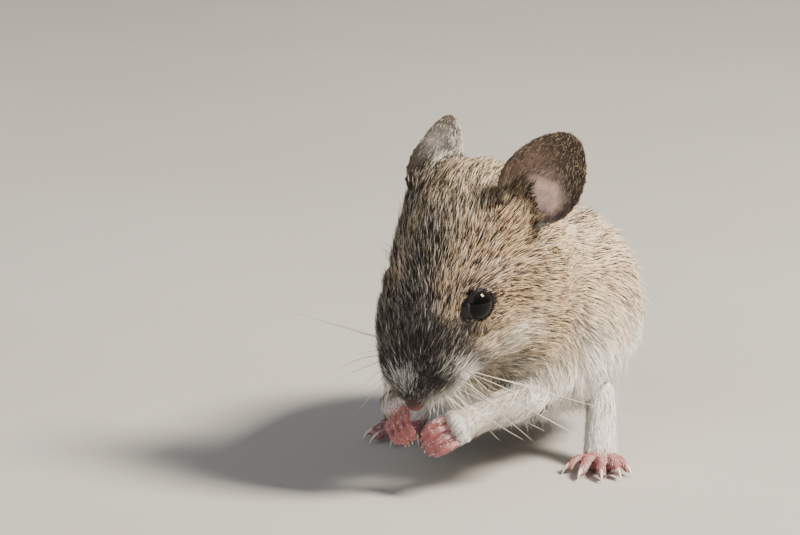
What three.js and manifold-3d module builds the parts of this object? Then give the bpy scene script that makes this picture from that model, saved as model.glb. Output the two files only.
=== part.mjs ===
// A young long-tailed field mouse, life size: it crouches on its hind toes with its head bowed over
// its forepaws.
// Millimetres, +Z up. The body faces -Y and its left side is +X. The outline includes the coat.
//
// The flesh is described by one smooth distance field: ellipsoids and tapered capsules that melt into
// each other. The field is turned into closed meshes and parted into named pieces with thin cuts.
// Ears, paws, toes and tail are lofted tubes and cups, joined or cut with manifold-3d.
import * as THREE from "three";
import { mergeVertices } from "three/addons/utils/BufferGeometryUtils.js";
import Module from "manifold-3d";

const wasm = await Module();
wasm.setup();

// ---------------------------------------------------------------- driving dimensions

const GAP = 0.3; // clearance between touching pieces
const FLOOR = 0;

const EYE_RADIUS = 2.15;
const EAR_LENGTH = 13.2;
const EAR_WIDTH = 9.9;
const EAR_THICKNESS = 0.62;
const EAR_CUP_DEPTH = 3.1;
const TAIL_ROOT_RADIUS = 1.9;
const TAIL_TIP_RADIUS = 0.42;
const BODY_WIDTH = 27.4;
const BODY_CENTRE_HEIGHT = 18.6;

const HEAD_CELL = 1.45; // mesh size of the head
const TRUNK_CELL = 2.7; // mesh size of the trunk
const FAR = 80; // larger than the animal, for half spaces

// The head hangs from the neck, turned a little to its right and rolled to its left.
const HEAD_ORIGIN = new THREE.Vector3(0.8, -17.2, 24.7); // midway between the eyes
const HEAD_PITCH = THREE.MathUtils.degToRad(53);
const HEAD_TURN = THREE.MathUtils.degToRad(20);
const HEAD_ROLL = THREE.MathUtils.degToRad(12);

const SIDES = { left: 1, right: -1 };

// ---------------------------------------------------------------- small helpers

const at = (x, y, z) => new THREE.Vector3(x, y, z);
const sided = (side, x, y, z) => at(SIDES[side] * x, y, z);

const headFrame = new THREE.Matrix4()
  .makeRotationFromEuler(new THREE.Euler(HEAD_PITCH, HEAD_ROLL, -HEAD_TURN, "ZXY"))
  .setPosition(HEAD_ORIGIN);
const intoHead = headFrame.clone().invert();
// A point of the head's own frame (x to its left, y backwards, z up through the crown) in the world.
const onHead = (x, y, z) => at(x, y, z).applyMatrix4(headFrame);
const headDirection = (x, y, z) => at(x, y, z).transformDirection(headFrame);

// ---------------------------------------------------------------- distance fields

// Each shape is a function of a point that is negative inside and positive outside.
function ellipsoid(centre, radii, turn = new THREE.Euler()) {
  const back = new THREE.Matrix4().makeRotationFromEuler(turn).setPosition(centre).invert();
  const q = new THREE.Vector3();
  return (p) => {
    q.copy(p).applyMatrix4(back);
    const k0 = Math.hypot(q.x / radii.x, q.y / radii.y, q.z / radii.z);
    const k1 = Math.hypot(q.x / radii.x ** 2, q.y / radii.y ** 2, q.z / radii.z ** 2);
    return k1 < 1e-9 ? -Math.min(radii.x, radii.y, radii.z) : (k0 * (k0 - 1)) / k1;
  };
}

// A capsule from a to b whose radius runs from ra to rb.
function taperedCapsule(a, b, ra, rb) {
  const axis = b.clone().sub(a);
  const length2 = axis.lengthSq();
  const q = new THREE.Vector3();
  return (p) => {
    q.copy(p).sub(a);
    const t = THREE.MathUtils.clamp(q.dot(axis) / length2, 0, 1);
    return q.addScaledVector(axis, -t).length() - THREE.MathUtils.lerp(ra, rb, t);
  };
}

// Smooth union over a width of k.
function melt(a, b, k) {
  const h = Math.max(k - Math.abs(a - b), 0) / k;
  return Math.min(a, b) - (h * h * k) / 4;
}
const meltAll = (shapes, k) => (p) => shapes.reduce((d, shape) => melt(d, shape(p), k), FAR);

// ---------------------------------------------------------------- head

const EYE_CENTRE = { left: at(5.4, -0.15, 0.6), right: at(4.9, 0.05, 0.4) };
const EYE_AXIS = at(0.87, -0.3, 0.36).normalize();
const LID = { radius: 2.05, section: 0.42, lift: 0.95, width: 1.1, height: 0.92 };
const MOUTH_HEIGHT = -7.15;
const SNOUT_END = at(0.35, -10.4, -4.8); // the snout is bent a little to the left
const NOSE_TIP = at(0.5, -12.25, -5.05);

function headShapes(side) {
  const s = SIDES[side];
  return [
    ellipsoid(at(s * 4.6, 1.6, -6.0), at(4.4, 6.8, 5.4)), // cheek
    ellipsoid(at(s * 5.6, 8.6, -5.6), at(4.8, 6.4, 6.6)), // ruff behind the cheek
    ellipsoid(at(s * 2.9, -7.5, -4.0), at(2.8, 3.9, 3.1)), // whisker pad
    ellipsoid(at(s * 3.0, -4.4, -0.6), at(3.2, 3.6, 2.5)), // side of the snout
    ellipsoid(at(s * 4.3, 0.6, 1.5), at(2.4, 4.2, 1.9)), // brow
    ellipsoid(at(s * 6.2, 11.0, 2.2), at(2.4, 2.8, 2.8)), // swelling under the ear
  ];
}

const skull = meltAll(
  [
    ellipsoid(at(0, 7.4, -0.8), at(8.4, 10.4, 8.4)), // cranium
    ellipsoid(at(0, 0, -1.4), at(6.3, 7, 5.7)), // forehead
    taperedCapsule(at(0, -1.8, -3), SNOUT_END, 5.8, 2.5), // snout
    ...headShapes("left"),
    ...headShapes("right"),
  ],
  2.4,
);
const jaw = meltAll(
  [
    taperedCapsule(at(0, 2, -8.4), at(0, -7.4, -8.1), 3.7, 1.55),
    ellipsoid(at(0, 4.5, -8.4), at(6.6, 6.6, 4.6)), // throat
  ],
  2,
);

// The head in its own frame.
const headField = (q) => melt(skull(q), jaw(q), 1.6);

// ---------------------------------------------------------------- trunk and limbs

const HIP = { x: 6.4, y: 13, z: 17.6 };
const KNEE = { x: 10.4, y: 1.4, z: 14.2 };
const HEEL = { x: 11.2, y: 8.0, z: 9.4 };
const TOE_BASE = { x: 14.0, y: 1.6, z: 1.15 };
const RIGHT_FOOT_BACK = 4.5; // the right hind foot stands this much further back
const SHOULDER = { left: { x: 7.0, y: -4.2, z: 19.6 }, right: { x: 6.0, y: -4.2, z: 19.6 } };
const ELBOW = { left: { x: 10.7, y: -6.4, z: 13.0 }, right: { x: 8.5, y: -5.4, z: 13.4 } };

const footBack = (side) => (side === "right" ? RIGHT_FOOT_BACK : 0);
const place = (side, joint, back = 0) => sided(side, joint.x, joint.y + back, joint.z);

function limbShapes(side) {
  const back = footBack(side);
  return [
    taperedCapsule(place(side, HIP), place(side, KNEE, back * 0.5), 6.9, 4.3), // thigh
    ellipsoid(sided(side, 7.5, 8.8, 15.4), at(5.3, 8.6, 7.5)), // haunch
    taperedCapsule(place(side, SHOULDER[side]), place(side, ELBOW[side]), 5.6, 3.1), // upper arm
    taperedCapsule(onHead(SIDES[side] * 4.6, 6, -8), sided(side, 6, -6.4, 16), 4.4, 4.4), // jowl
  ];
}

const halfWidth = BODY_WIDTH / 2;
const trunk = meltAll(
  [
    ellipsoid(at(0, 16.5, BODY_CENTRE_HEIGHT - 2.8), at(halfWidth - 0.8, 12.8, 11.8)), // pelvis
    ellipsoid(at(0, 6, BODY_CENTRE_HEIGHT - 1.6), at(halfWidth - 0.6, 13, 11.2)), // belly
    ellipsoid(at(0, -2.5, BODY_CENTRE_HEIGHT - 0.8), at(halfWidth - 3.4, 8.6, 10.6)), // chest
    ellipsoid(at(0, 8.5, BODY_CENTRE_HEIGHT + 2.6), at(12.4, 18, 10)), // arched back
    taperedCapsule(at(0, 0.6, 22.9), onHead(0.3, 8.5, -4.5), 9.4, 8.0), // neck
    ...limbShapes("left"),
    ...limbShapes("right"),
  ],
  4,
);

const inHead = new THREE.Vector3();
const bodyField = (p) => melt(trunk(p), headField(inHead.copy(p).applyMatrix4(intoHead)), 2.6);

// ---------------------------------------------------------------- from field to mesh

const CORNERS = [0, 1, 2, 3, 4, 5, 6, 7]; // bit 0 is x, bit 1 is y, bit 2 is z
// True when the chosen corners of a cell hang together along the cell's edges.
function hangTogether(mask) {
  let reached = mask & -mask;
  for (const round of CORNERS)
    for (const c of CORNERS)
      if (reached & (1 << c)) for (const axis of [1, 2, 4]) reached |= mask & (1 << (c ^ axis));
  return reached === mask;
}
const ONE_SHEET = Array.from({ length: 256 }, (_, mask) => hangTogether(mask) && hangTogether(255 - mask));

// Fills the shallowest outside corner of each cell in which two sheets of the surface would touch.
function partSheets(values, n, stride, cell) {
  const atRim = (v) => n.some((count, axis) => [0, count - 1].includes(Math.floor(v / stride[axis]) % count));
  const offsets = CORNERS.map((c) => (c & 1) * stride[0] + ((c >> 1) & 1) * stride[1] + (c >> 2) * stride[2]);
  for (let changed = true; changed; ) {
    changed = false;
    for (let k = 0; k < n[2] - 1; k++)
      for (let j = 0; j < n[1] - 1; j++)
        for (let i = 0; i < n[0] - 1; i++) {
          const around = offsets.map((offset) => i + j * stride[1] + k * stride[2] + offset);
          const mask = around.reduce((bits, v, c) => bits | (values[v] < 0 ? 1 << c : 0), 0);
          if (ONE_SHEET[mask]) continue;
          const outside = around.filter((v) => values[v] >= 0 && !atRim(v));
          const shallowest = outside.reduce((a, b) => (values[b] < values[a] ? b : a));
          values[shallowest] = -cell / 50;
          changed = true;
        }
  }
}

// Surface nets: one vertex in each cell that the surface crosses, one quad for each grid edge it crosses.
function meshField(field, box, cell, offset = 0) {
  const size = box.getSize(new THREE.Vector3());
  const n = [size.x, size.y, size.z].map((length) => Math.ceil(length / cell) + 2);
  const stride = [1, n[0], n[0] * n[1]];
  const values = new Float32Array(n[0] * n[1] * n[2]);
  const corner = (i, j, k) =>
    at(box.min.x + (i - 0.5) * cell, box.min.y + (j - 0.5) * cell, box.min.z + (k - 0.5) * cell);
  for (let k = 0, v = 0; k < n[2]; k++)
    for (let j = 0; j < n[1]; j++)
      for (let i = 0; i < n[0]; i++, v++) {
        const rim = [i, j, k].some((c, axis) => c === 0 || c === n[axis] - 1);
        values[v] = field(corner(i, j, k)) - offset;
        if (rim) values[v] = Math.max(values[v], cell / 2); // closes the mesh where the box cuts the body
      }
  partSheets(values, n, stride, cell);

  const positions = [];
  const vertexOf = new Int32Array(values.length).fill(-1);
  for (let k = 0; k < n[2] - 1; k++)
    for (let j = 0; j < n[1] - 1; j++)
      for (let i = 0; i < n[0] - 1; i++) {
        const base = i + j * stride[1] + k * stride[2];
        const sum = at(0, 0, 0);
        let crossings = 0;
        for (let axis = 0; axis < 3; axis++)
          for (let side = 0; side < 4; side++) {
            const start = [0, 0, 0];
            start[(axis + 1) % 3] = side & 1;
            start[(axis + 2) % 3] = side >> 1;
            const a = base + start[0] * stride[0] + start[1] * stride[1] + start[2] * stride[2];
            const b = a + stride[axis];
            if (values[a] < 0 === values[b] < 0) continue;
            start[axis] = values[a] / (values[a] - values[b]);
            sum.add(at(...start));
            crossings++;
          }
        if (!crossings) continue;
        sum.divideScalar(crossings).multiplyScalar(cell).add(corner(i, j, k));
        vertexOf[base] = positions.length / 3;
        positions.push(sum.x, sum.y, sum.z);
      }

  const index = [];
  for (let k = 0; k < n[2] - 1; k++)
    for (let j = 0; j < n[1] - 1; j++)
      for (let i = 0; i < n[0] - 1; i++) {
        const base = i + j * stride[1] + k * stride[2];
        for (let axis = 0; axis < 3; axis++) {
          const inside = values[base] < 0;
          if (inside === values[base + stride[axis]] < 0) continue;
          const u = stride[(axis + 1) % 3];
          const w = stride[(axis + 2) % 3];
          const quad = [base - u - w, base - w, base, base - u].map((v) => vertexOf[v]);
          if (!inside) quad.reverse();
          index.push(quad[0], quad[1], quad[2], quad[0], quad[2], quad[3]);
        }
      }
  const geometry = new THREE.BufferGeometry();
  geometry.setAttribute("position", new THREE.Float32BufferAttribute(positions, 3));
  geometry.setIndex(index);
  return geometry;
}

// ---------------------------------------------------------------- solids

function solid(geometry) {
  const bare = geometry.clone();
  for (const name of Object.keys(bare.attributes)) if (name !== "position") bare.deleteAttribute(name);
  const merged = mergeVertices(bare, 1e-4);
  const vertProperties = new Float32Array(merged.attributes.position.array);
  const triVerts = new Uint32Array(merged.index.array);
  const build = () => new wasm.Manifold(new wasm.Mesh({ numProp: 3, vertProperties, triVerts }));
  const made = build();
  if (made.volume() > 0) return made;
  for (let i = 0; i < triVerts.length; i += 3)
    [triVerts[i + 1], triVerts[i + 2]] = [triVerts[i + 2], triVerts[i + 1]];
  return build();
}

const largest = (made) =>
  made.decompose().reduce((best, body) => (body.volume() > best.volume() ? body : best));
const join = (...solids) => solids.reduce((a, b) => a.add(b));

// Everything on the far side of a plane, as a large box whose near face is the plane.
function beyond(point, normal) {
  const box = new THREE.BoxGeometry(2 * FAR, 2 * FAR, 2 * FAR);
  box.translate(0, 0, FAR);
  box.applyQuaternion(new THREE.Quaternion().setFromUnitVectors(at(0, 0, 1), normal));
  box.translate(point.x, point.y, point.z);
  return solid(box);
}

// Parts a solid at a plane: [what lies before it, what lies beyond it], with the gap between them.
function partAt(body, point, normal) {
  const n = normal.clone().normalize();
  const before = body.subtract(beyond(point.clone().addScaledVector(n, -GAP / 2), n));
  const after = body.intersect(beyond(point.clone().addScaledVector(n, GAP / 2), n));
  return [before, after];
}

function ball(centre, radii, segments = 24, turn = new THREE.Euler()) {
  const sphere = new THREE.SphereGeometry(1, segments, Math.round(segments / 2));
  sphere.scale(radii.x, radii.y, radii.z);
  sphere.applyMatrix4(new THREE.Matrix4().makeRotationFromEuler(turn).setPosition(centre));
  return solid(sphere);
}

// ---------------------------------------------------------------- lofts

// A closed tube along a curve. sectionAt(t) gives its half width and half height; ends are round.
function loft(curve, sectionAt, options) {
  const { rings, segments, endRings = 3, up = at(0, 0, 1), floor = null } = options;
  const geometry = new THREE.SphereGeometry(1, segments, rings);
  const length = curve.getLength();
  const endRadius = [0, 1].map((t) => Math.min(sectionAt(t)[0], sectionAt(t)[1], length / 2.2));
  const reach = (i, r) => r * (1 - Math.cos((i / endRings) * (Math.PI / 2)));
  const place = [];
  for (let i = 0; i <= rings; i++) {
    let s;
    if (i <= endRings) s = reach(i, endRadius[0]);
    else if (i >= rings - endRings) s = length - reach(rings - i, endRadius[1]);
    else {
      const share = (i - endRings) / (rings - 2 * endRings);
      s = THREE.MathUtils.lerp(endRadius[0], length - endRadius[1], share);
    }
    const round = (distance, r) => {
      const e = THREE.MathUtils.clamp(1 - distance / r, 0, 1);
      return Math.sqrt(1 - e * e);
    };
    place.push({ t: s / length, scale: Math.min(round(s, endRadius[0]), round(length - s, endRadius[1])) });
  }
  const position = geometry.attributes.position;
  for (let i = 0, v = 0; i <= rings; i++) {
    const { t, scale } = place[i];
    const centre = curve.getPointAt(t);
    const tangent = curve.getTangentAt(t);
    const across = new THREE.Vector3().crossVectors(tangent, up).normalize();
    const over = new THREE.Vector3().crossVectors(across, tangent).normalize();
    const [half, height] = sectionAt(t);
    for (let j = 0; j <= segments; j++, v++) {
      const angle = (j / segments) * 2 * Math.PI;
      const p = centre
        .clone()
        .addScaledVector(across, Math.cos(angle) * half * scale)
        .addScaledVector(over, Math.sin(angle) * height * scale);
      if (floor !== null) p.z = Math.max(p.z, floor);
      position.setXYZ(v, p.x, p.y, p.z);
    }
  }
  geometry.deleteAttribute("uv");
  geometry.deleteAttribute("normal");
  return solid(geometry);
}

// Half sizes that run smoothly through a list of [t, half width, half height].
function sections(list) {
  return (t) => {
    const next = list.findIndex(([stop]) => stop >= t);
    if (next <= 0) return next === 0 ? list[0].slice(1) : list[list.length - 1].slice(1);
    const [t0, w0, h0] = list[next - 1];
    const [t1, w1, h1] = list[next];
    const share = THREE.MathUtils.smoothstep(t, t0, t1);
    return [THREE.MathUtils.lerp(w0, w1, share), THREE.MathUtils.lerp(h0, h1, share)];
  };
}
const through = (...points) => new THREE.CatmullRomCurve3(points, false, "centripetal");

// ---------------------------------------------------------------- flesh pieces

const pieces = new Map(); // node name to solid

const headBox = new THREE.Box3().setFromCenterAndSize(onHead(0, 2, -2), at(30, 34, 36));
const bodyBox = new THREE.Box3(at(-20, -20, 4), at(20, 32, 40));
const headMesh = solid(meshField(bodyField, headBox, HEAD_CELL));
const trunkMesh = solid(meshField(bodyField, bodyBox, TRUNK_CELL));
const headKeepOut = solid(meshField(bodyField, headBox, HEAD_CELL, GAP));
const trunkKeepOut = solid(meshField(bodyField, bodyBox, TRUNK_CELL, GAP));

const NECK_FRONT = { point: at(0.9, -6.9, 23.7), normal: at(-0.13, 0.79, -0.6).normalize() };
const NECK_BACK = { point: at(0, -2.4, 25.5), normal: at(0, 0.95, -0.3).normalize() };
const CHEST_BACK = { point: at(0, 3.5, 20), normal: at(0, 1, -0.12).normalize() };
const BELLY_BACK = { point: at(0, 13, 20), normal: at(0, 1, 0.1).normalize() };

// Thighs and upper arms are cut out of the trunk along rounded outlines.
function lobe(side, centre, radii, turn) {
  const grown = (by) => at(radii.x + by, radii.y + by, radii.z + by);
  const middle = sided(side, centre.x, centre.y, centre.z);
  const angle = new THREE.Euler(turn.x, SIDES[side] * turn.y, SIDES[side] * turn.z);
  return {
    inner: ball(middle, grown(-GAP / 2), 24, angle),
    outer: ball(middle, grown(GAP / 2), 24, angle),
  };
}

let trunkLeft = trunkMesh;
for (const side of Object.keys(SIDES)) {
  const thigh = lobe(side, at(12.6, 7.6, 13.6), at(6.6, 11.6, 10.8), at(0, 0, 0.12));
  pieces.set(`thigh_${side}`, largest(trunkMesh.intersect(thigh.inner)));
  trunkLeft = trunkLeft.subtract(thigh.outer);
}
for (const side of Object.keys(SIDES)) {
  const { x, y, z } = ELBOW[side];
  const arm = lobe(side, at(x + 1.7, y, z + 1.6), at(6.4, 5.0, 8.2), at(0, 0, 0));
  const upper = trunkLeft.intersect(arm.inner);
  pieces.set(`upper_arm_${side}`, largest(partAt(upper, NECK_FRONT.point, NECK_FRONT.normal)[1]));
  trunkLeft = trunkLeft.subtract(arm.outer);
}
let rest = partAt(trunkLeft, NECK_FRONT.point, NECK_FRONT.normal)[1];
const trunkCuts = { neck: NECK_BACK, chest: CHEST_BACK, belly: BELLY_BACK };
for (const [name, cut] of Object.entries(trunkCuts)) {
  const [before, after] = partAt(rest, cut.point, cut.normal);
  pieces.set(name, largest(before));
  rest = after;
}
pieces.set("rump", largest(rest));

// ---------------------------------------------------------------- head pieces

const MUZZLE_BACK = -4.6;
const mouthPlane = { point: onHead(0, 0, MOUTH_HEIGHT), normal: headDirection(0, 0.1, -1) };
const muzzlePlane = { point: onHead(0, MUZZLE_BACK, 0), normal: headDirection(0, 1, 0) };
const JAW_CENTRE = onHead(0, -2.4, -9.6);
const headTurn = new THREE.Euler().setFromRotationMatrix(headFrame);

const eyeAt = (side) => onHead(SIDES[side] * EYE_CENTRE[side].x, EYE_CENTRE[side].y, EYE_CENTRE[side].z);

// The lids: a flattened ring round the front of the eye.
function lid(side) {
  const s = SIDES[side];
  const rim = new THREE.TorusGeometry(LID.radius, LID.section, 6, 22);
  rim.scale(LID.width, LID.height, 1);
  const axis = headDirection(s * EYE_AXIS.x, EYE_AXIS.y, EYE_AXIS.z);
  const along = headDirection(0, -1, 0);
  along.addScaledVector(axis, -along.dot(axis)).normalize();
  const centre = eyeAt(side).addScaledVector(axis, LID.lift);
  const pose = new THREE.Matrix4().makeBasis(along, new THREE.Vector3().crossVectors(axis, along), axis);
  return solid(rim.applyMatrix4(pose.setPosition(centre)));
}

let head = partAt(headMesh, NECK_FRONT.point, NECK_FRONT.normal)[0];
for (const side of Object.keys(SIDES)) {
  const centre = eyeAt(side);
  const radius = EYE_RADIUS + GAP;
  head = join(head, lid(side)).subtract(ball(centre, at(radius, radius, radius), 20));
  pieces.set(`eye_${side}`, ball(centre, at(EYE_RADIUS, EYE_RADIUS, EYE_RADIUS), 14));
}
const jawLobe = (by) => ball(JAW_CENTRE, at(4.3 + by, 7.4 + by, 5 + by), 24, headTurn)
  .intersect(beyond(mouthPlane.point.clone().addScaledVector(mouthPlane.normal, -by), mouthPlane.normal));
pieces.set("lower_jaw", largest(head.intersect(jawLobe(-GAP / 2))));
head = head.subtract(jawLobe(GAP / 2));
const [muzzleFront, headBehind] = partAt(head, muzzlePlane.point, muzzlePlane.normal);
pieces.set("head", largest(headBehind));

// The bare nose pad with its two nostrils, let into the end of the muzzle.
const noseAt = onHead(NOSE_TIP.x, NOSE_TIP.y, NOSE_TIP.z);
const noseRadii = (by) => at(1.35 + by, 1.0 + by, 1.1 + by);
let nose = ball(noseAt, noseRadii(0), 14, headTurn);
for (const side of Object.keys(SIDES)) {
  const nostril = onHead(NOSE_TIP.x + SIDES[side] * 0.72, NOSE_TIP.y - 0.75, NOSE_TIP.z - 0.1);
  nose = nose.subtract(ball(nostril, at(0.3, 0.5, 0.42), 8, headTurn));
}
pieces.set("nose", largest(nose));
pieces.set("muzzle", largest(muzzleFront.subtract(ball(noseAt, noseRadii(GAP), 14, headTurn))));

// ---------------------------------------------------------------- ears

// A cup: a flattened sphere whose rim follows an egg outline and whose middle is pushed back.
function ear(side, root, axisLocal, faceLocal) {
  const s = SIDES[side];
  const geometry = new THREE.SphereGeometry(1, 30, 12);
  const axis = headDirection(s * axisLocal.x, axisLocal.y, axisLocal.z);
  const face = headDirection(s * faceLocal.x, faceLocal.y, faceLocal.z);
  face.addScaledVector(axis, -face.dot(axis)).normalize();
  const across = new THREE.Vector3().crossVectors(axis, face).multiplyScalar(s);
  const origin = onHead(s * root.x, root.y, root.z);
  const position = geometry.attributes.position;
  for (let i = 0; i < position.count; i++) {
    const q = at(position.getX(i), position.getY(i), position.getZ(i));
    const spread = Math.min(1, Math.hypot(q.x, q.z)); // 0 in the middle, 1 at the rim
    const theta = Math.atan2(q.z, q.x);
    const high = Math.sin(theta) * spread;
    const wide = Math.cos(theta) * spread;
    const taper = 1 - 0.2 * high - 0.24 * Math.max(0, -high) ** 2; // narrower at the base than at the crown
    const cup = EAR_CUP_DEPTH * (1 - spread ** 2) * (1 - 0.25 * high);
    const roll = 1.5 * Math.max(0, -high) * wide ** 2; // the lower edges turn in to a tube
    const thick = Math.sign(q.y) * (EAR_THICKNESS / 2) * Math.sqrt(Math.max(0, 1 - spread ** 6));
    const p = origin
      .clone()
      .addScaledVector(axis, EAR_LENGTH * 0.5 * (high + 0.86))
      .addScaledVector(across, EAR_WIDTH * 0.5 * wide * taper)
      .addScaledVector(face, thick - cup + roll);
    position.setXYZ(i, p.x, p.y, p.z);
  }
  return solid(geometry);
}
const EAR_ROOT = { left: at(7.6, 10.6, 2.9), right: at(6.8, 8.95, 2.85) };
const earPose = {
  left: [at(0.42, 0.76, 0.5), at(0.65, -0.5, 0.55)],
  right: [at(0.08, 0.97, -0.14), at(0.95, 0, 0.05)],
};
for (const side of Object.keys(SIDES)) {
  const cup = ear(side, EAR_ROOT[side], ...earPose[side]);
  pieces.set(`ear_${side}`, largest(cup.subtract(headKeepOut)));
}

// ---------------------------------------------------------------- forelimbs

const WRIST = { left: at(4.1, -16.0, 9.2), right: at(-5.3, -16.0, 10.6) };
const FINGERTIPS = { left: at(-0.9, -19.4, 5.8), right: at(-2.9, -18.3, 6.4) };
const PALM_UP = { left: at(0.4, -0.66, 0.62).normalize(), right: at(-0.55, -0.75, 0.35).normalize() };
const FINGER = { radius: 0.52, spacing: 1.1, splay: 0.1, close: 0.4, first: 2.3, last: 1.6, shorter: 0.25 };

function claw(root, direction, length, radius, floor) {
  const tip = root.clone().addScaledVector(direction, length).add(at(0, 0, -length * 0.22));
  const bend = root.clone().lerp(tip, 0.5).add(at(0, 0, length * 0.14));
  const back = root.clone().addScaledVector(direction, -length * 0.45);
  const taper = sections([[0, radius, radius], [0.4, radius, radius * 1.1], [1, 0.1, 0.1]]);
  return loft(through(back, root, bend, tip), taper, { rings: 4, segments: 4, endRings: 1, floor });
}

// One toe or finger: a jointed tube with a pad under its tip and a claw.
function digit(root, knuckle, tip, radius, floor = null) {
  const body = loft(
    through(root, knuckle, tip),
    sections([[0, radius, radius], [0.45, radius * 0.95, radius * 0.92], [0.7, radius * 0.82, radius * 0.8],
      [1, radius * 0.95, radius * 0.95]]),
    { rings: 7, segments: 6, endRings: 2, floor },
  );
  const way = tip.clone().sub(knuckle).normalize();
  const nail = tip.clone().addScaledVector(way, -radius * 0.2).add(at(0, 0, radius * 0.25));
  return join(body, claw(nail, way, radius * 2.1, radius * 0.36, floor));
}

for (const side of Object.keys(SIDES)) {
  const elbow = place(side, ELBOW[side]).add(sided(side, 0.2, -0.2, -0.3));
  const wrist = WRIST[side];
  const way = wrist.clone().sub(elbow).normalize();
  const beyondWrist = wrist.clone().addScaledVector(way, 1.5);
  const middle = elbow.clone().lerp(wrist, 0.5).add(at(0, 0, -0.3));
  const arm = loft(
    through(elbow, middle, wrist, beyondWrist),
    sections([[0, 2.8, 3.0], [0.35, 2.25, 2.4], [0.75, 1.6, 1.65], [1, 1.55, 1.5]]),
    { rings: 12, segments: 10 },
  );
  const cutArm = partAt(arm.subtract(trunkKeepOut).subtract(headKeepOut), wrist, way)[0];
  pieces.set(`forearm_${side}`, largest(cutArm));

  // Palm and four fingers, curled towards the mouth.
  const tips = FINGERTIPS[side];
  const reach = tips.clone().sub(wrist).normalize();
  const up = PALM_UP[side];
  const across = new THREE.Vector3().crossVectors(reach, up).normalize();
  const palmEnd = wrist.clone().lerp(tips, 0.34);
  let hand = loft(
    through(wrist.clone().addScaledVector(way, -0.6), wrist.clone().lerp(palmEnd, 0.6), palmEnd),
    sections([[0, 1.4, 1.35], [0.6, 2.15, 1.55], [1, 2.1, 1.2]]),
    { rings: 9, segments: 10, up },
  );
  for (let i = 0; i < 4; i++) {
    const off = i - 1.5; // across the palm
    const root = palmEnd.clone().addScaledVector(across, off * FINGER.spacing)
      .addScaledVector(reach, -0.5);
    const knuckle = root.clone().addScaledVector(reach, FINGER.first)
      .addScaledVector(across, off * FINGER.splay).addScaledVector(up, 0.45);
    const end = knuckle.clone().addScaledVector(reach, FINGER.last - FINGER.shorter * Math.abs(off))
      .addScaledVector(across, -off * FINGER.close).addScaledVector(up, -1.0);
    hand = join(hand, digit(root, knuckle, end, FINGER.radius));
  }
  pieces.set(`forepaw_${side}`, largest(partAt(hand, wrist, way)[1]));
}

// ---------------------------------------------------------------- hind limbs

const TOES = [
  { out: -1.5, angle: -56, length: 3.2, radius: 0.68 },
  { out: -1.0, angle: -20, length: 4.8, radius: 0.74 },
  { out: 0, angle: -1, length: 5.3, radius: 0.76 },
  { out: 0.95, angle: 14, length: 4.6, radius: 0.74 },
  { out: 1.5, angle: 34, length: 3.2, radius: 0.68 },
];
const FOOT_SPLAY = THREE.MathUtils.degToRad(24);

for (const side of Object.keys(SIDES)) {
  const s = SIDES[side];
  const back = footBack(side);
  const heel = place(side, HEEL, back);
  const ball_ = place(side, TOE_BASE, back);
  const forward = at(s * Math.sin(FOOT_SPLAY), -Math.cos(FOOT_SPLAY), 0);
  const outward = at(s * Math.cos(FOOT_SPLAY), Math.sin(FOOT_SPLAY), 0);

  const instep = ball_.clone().sub(heel).normalize();

  // Foot: a long instep, a broad ball and five toes with claws.
  let foot = loft(
    through(heel.clone().addScaledVector(instep, -0.4), heel.clone().lerp(ball_, 0.5).add(at(0, 0.3, -0.2)),
      ball_, ball_.clone().addScaledVector(forward, 1.6).add(at(0, 0, -0.1))),
    sections([[0, 1.75, 1.7], [0.3, 1.75, 1.35], [0.7, 1.95, 1.3], [0.88, 2.3, 1.35], [1, 2.1, 1.2]]),
    { rings: 12, segments: 10, up: forward.clone().add(at(0, 0, 0.6)).normalize(), floor: FLOOR },
  );
  for (const toe of TOES) {
    const way = forward.clone().applyAxisAngle(at(0, 0, 1), THREE.MathUtils.degToRad(toe.angle) * s);
    const root = ball_.clone().addScaledVector(outward, toe.out).setZ(1.3);
    const knuckle = root.clone().addScaledVector(way, toe.length * 0.5).setZ(1.65);
    const tip = root.clone().addScaledVector(way, toe.length).setZ(toe.radius * 0.82);
    foot = join(foot, digit(root, knuckle, tip, toe.radius, FLOOR));
  }
  pieces.set(`hind_foot_${side}`, largest(foot.subtract(trunkKeepOut)));
}

// ---------------------------------------------------------------- tail

// It leaves the rump low, drops to the floor and trails away to the right.
const tailRoute = through(
  at(0, 24, 10),
  at(0.3, 30.5, 6.2),
  at(0, 35.5, 2.6),
  at(-2.2, 41, 1.45),
  at(-7, 50, 1.25),
  at(-13, 60, 1.05),
  at(-20, 70, 0.85),
  at(-28, 79, 0.65),
  at(-36.5, 86, 0.4),
);
const tailSection = (t) => {
  const radius = THREE.MathUtils.lerp(TAIL_ROOT_RADIUS, TAIL_TIP_RADIUS, Math.min(1, t) ** 0.8);
  return [radius, radius];
};
const TAIL_CUTS = [0.26, 0.5, 0.75]; // shares of its length
let tailRest = loft(tailRoute, tailSection, { rings: 44, segments: 8, floor: FLOOR }).subtract(trunkKeepOut);
TAIL_CUTS.forEach((t, i) => {
  const [near, far] = partAt(tailRest, tailRoute.getPointAt(t), tailRoute.getTangentAt(t));
  pieces.set(`tail_${i + 1}`, largest(near));
  tailRest = far;
});
pieces.set(`tail_${TAIL_CUTS.length + 1}`, largest(tailRest));

// ---------------------------------------------------------------- materials and the finished group

const finish = (color, roughness, metalness = 0) =>
  new THREE.MeshStandardMaterial({ color, roughness, metalness });
const brownCoat = finish(0x8a735c, 0.9);
const paleCoat = finish(0xd9d2c6, 0.9);
const bareSkin = finish(0xd9a093, 0.6);
const earSkin = finish(0x6d564a, 0.75);
const tailSkin = finish(0x8c7668, 0.7);
const eyeBlack = finish(0x0a0808, 0.05);

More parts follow.
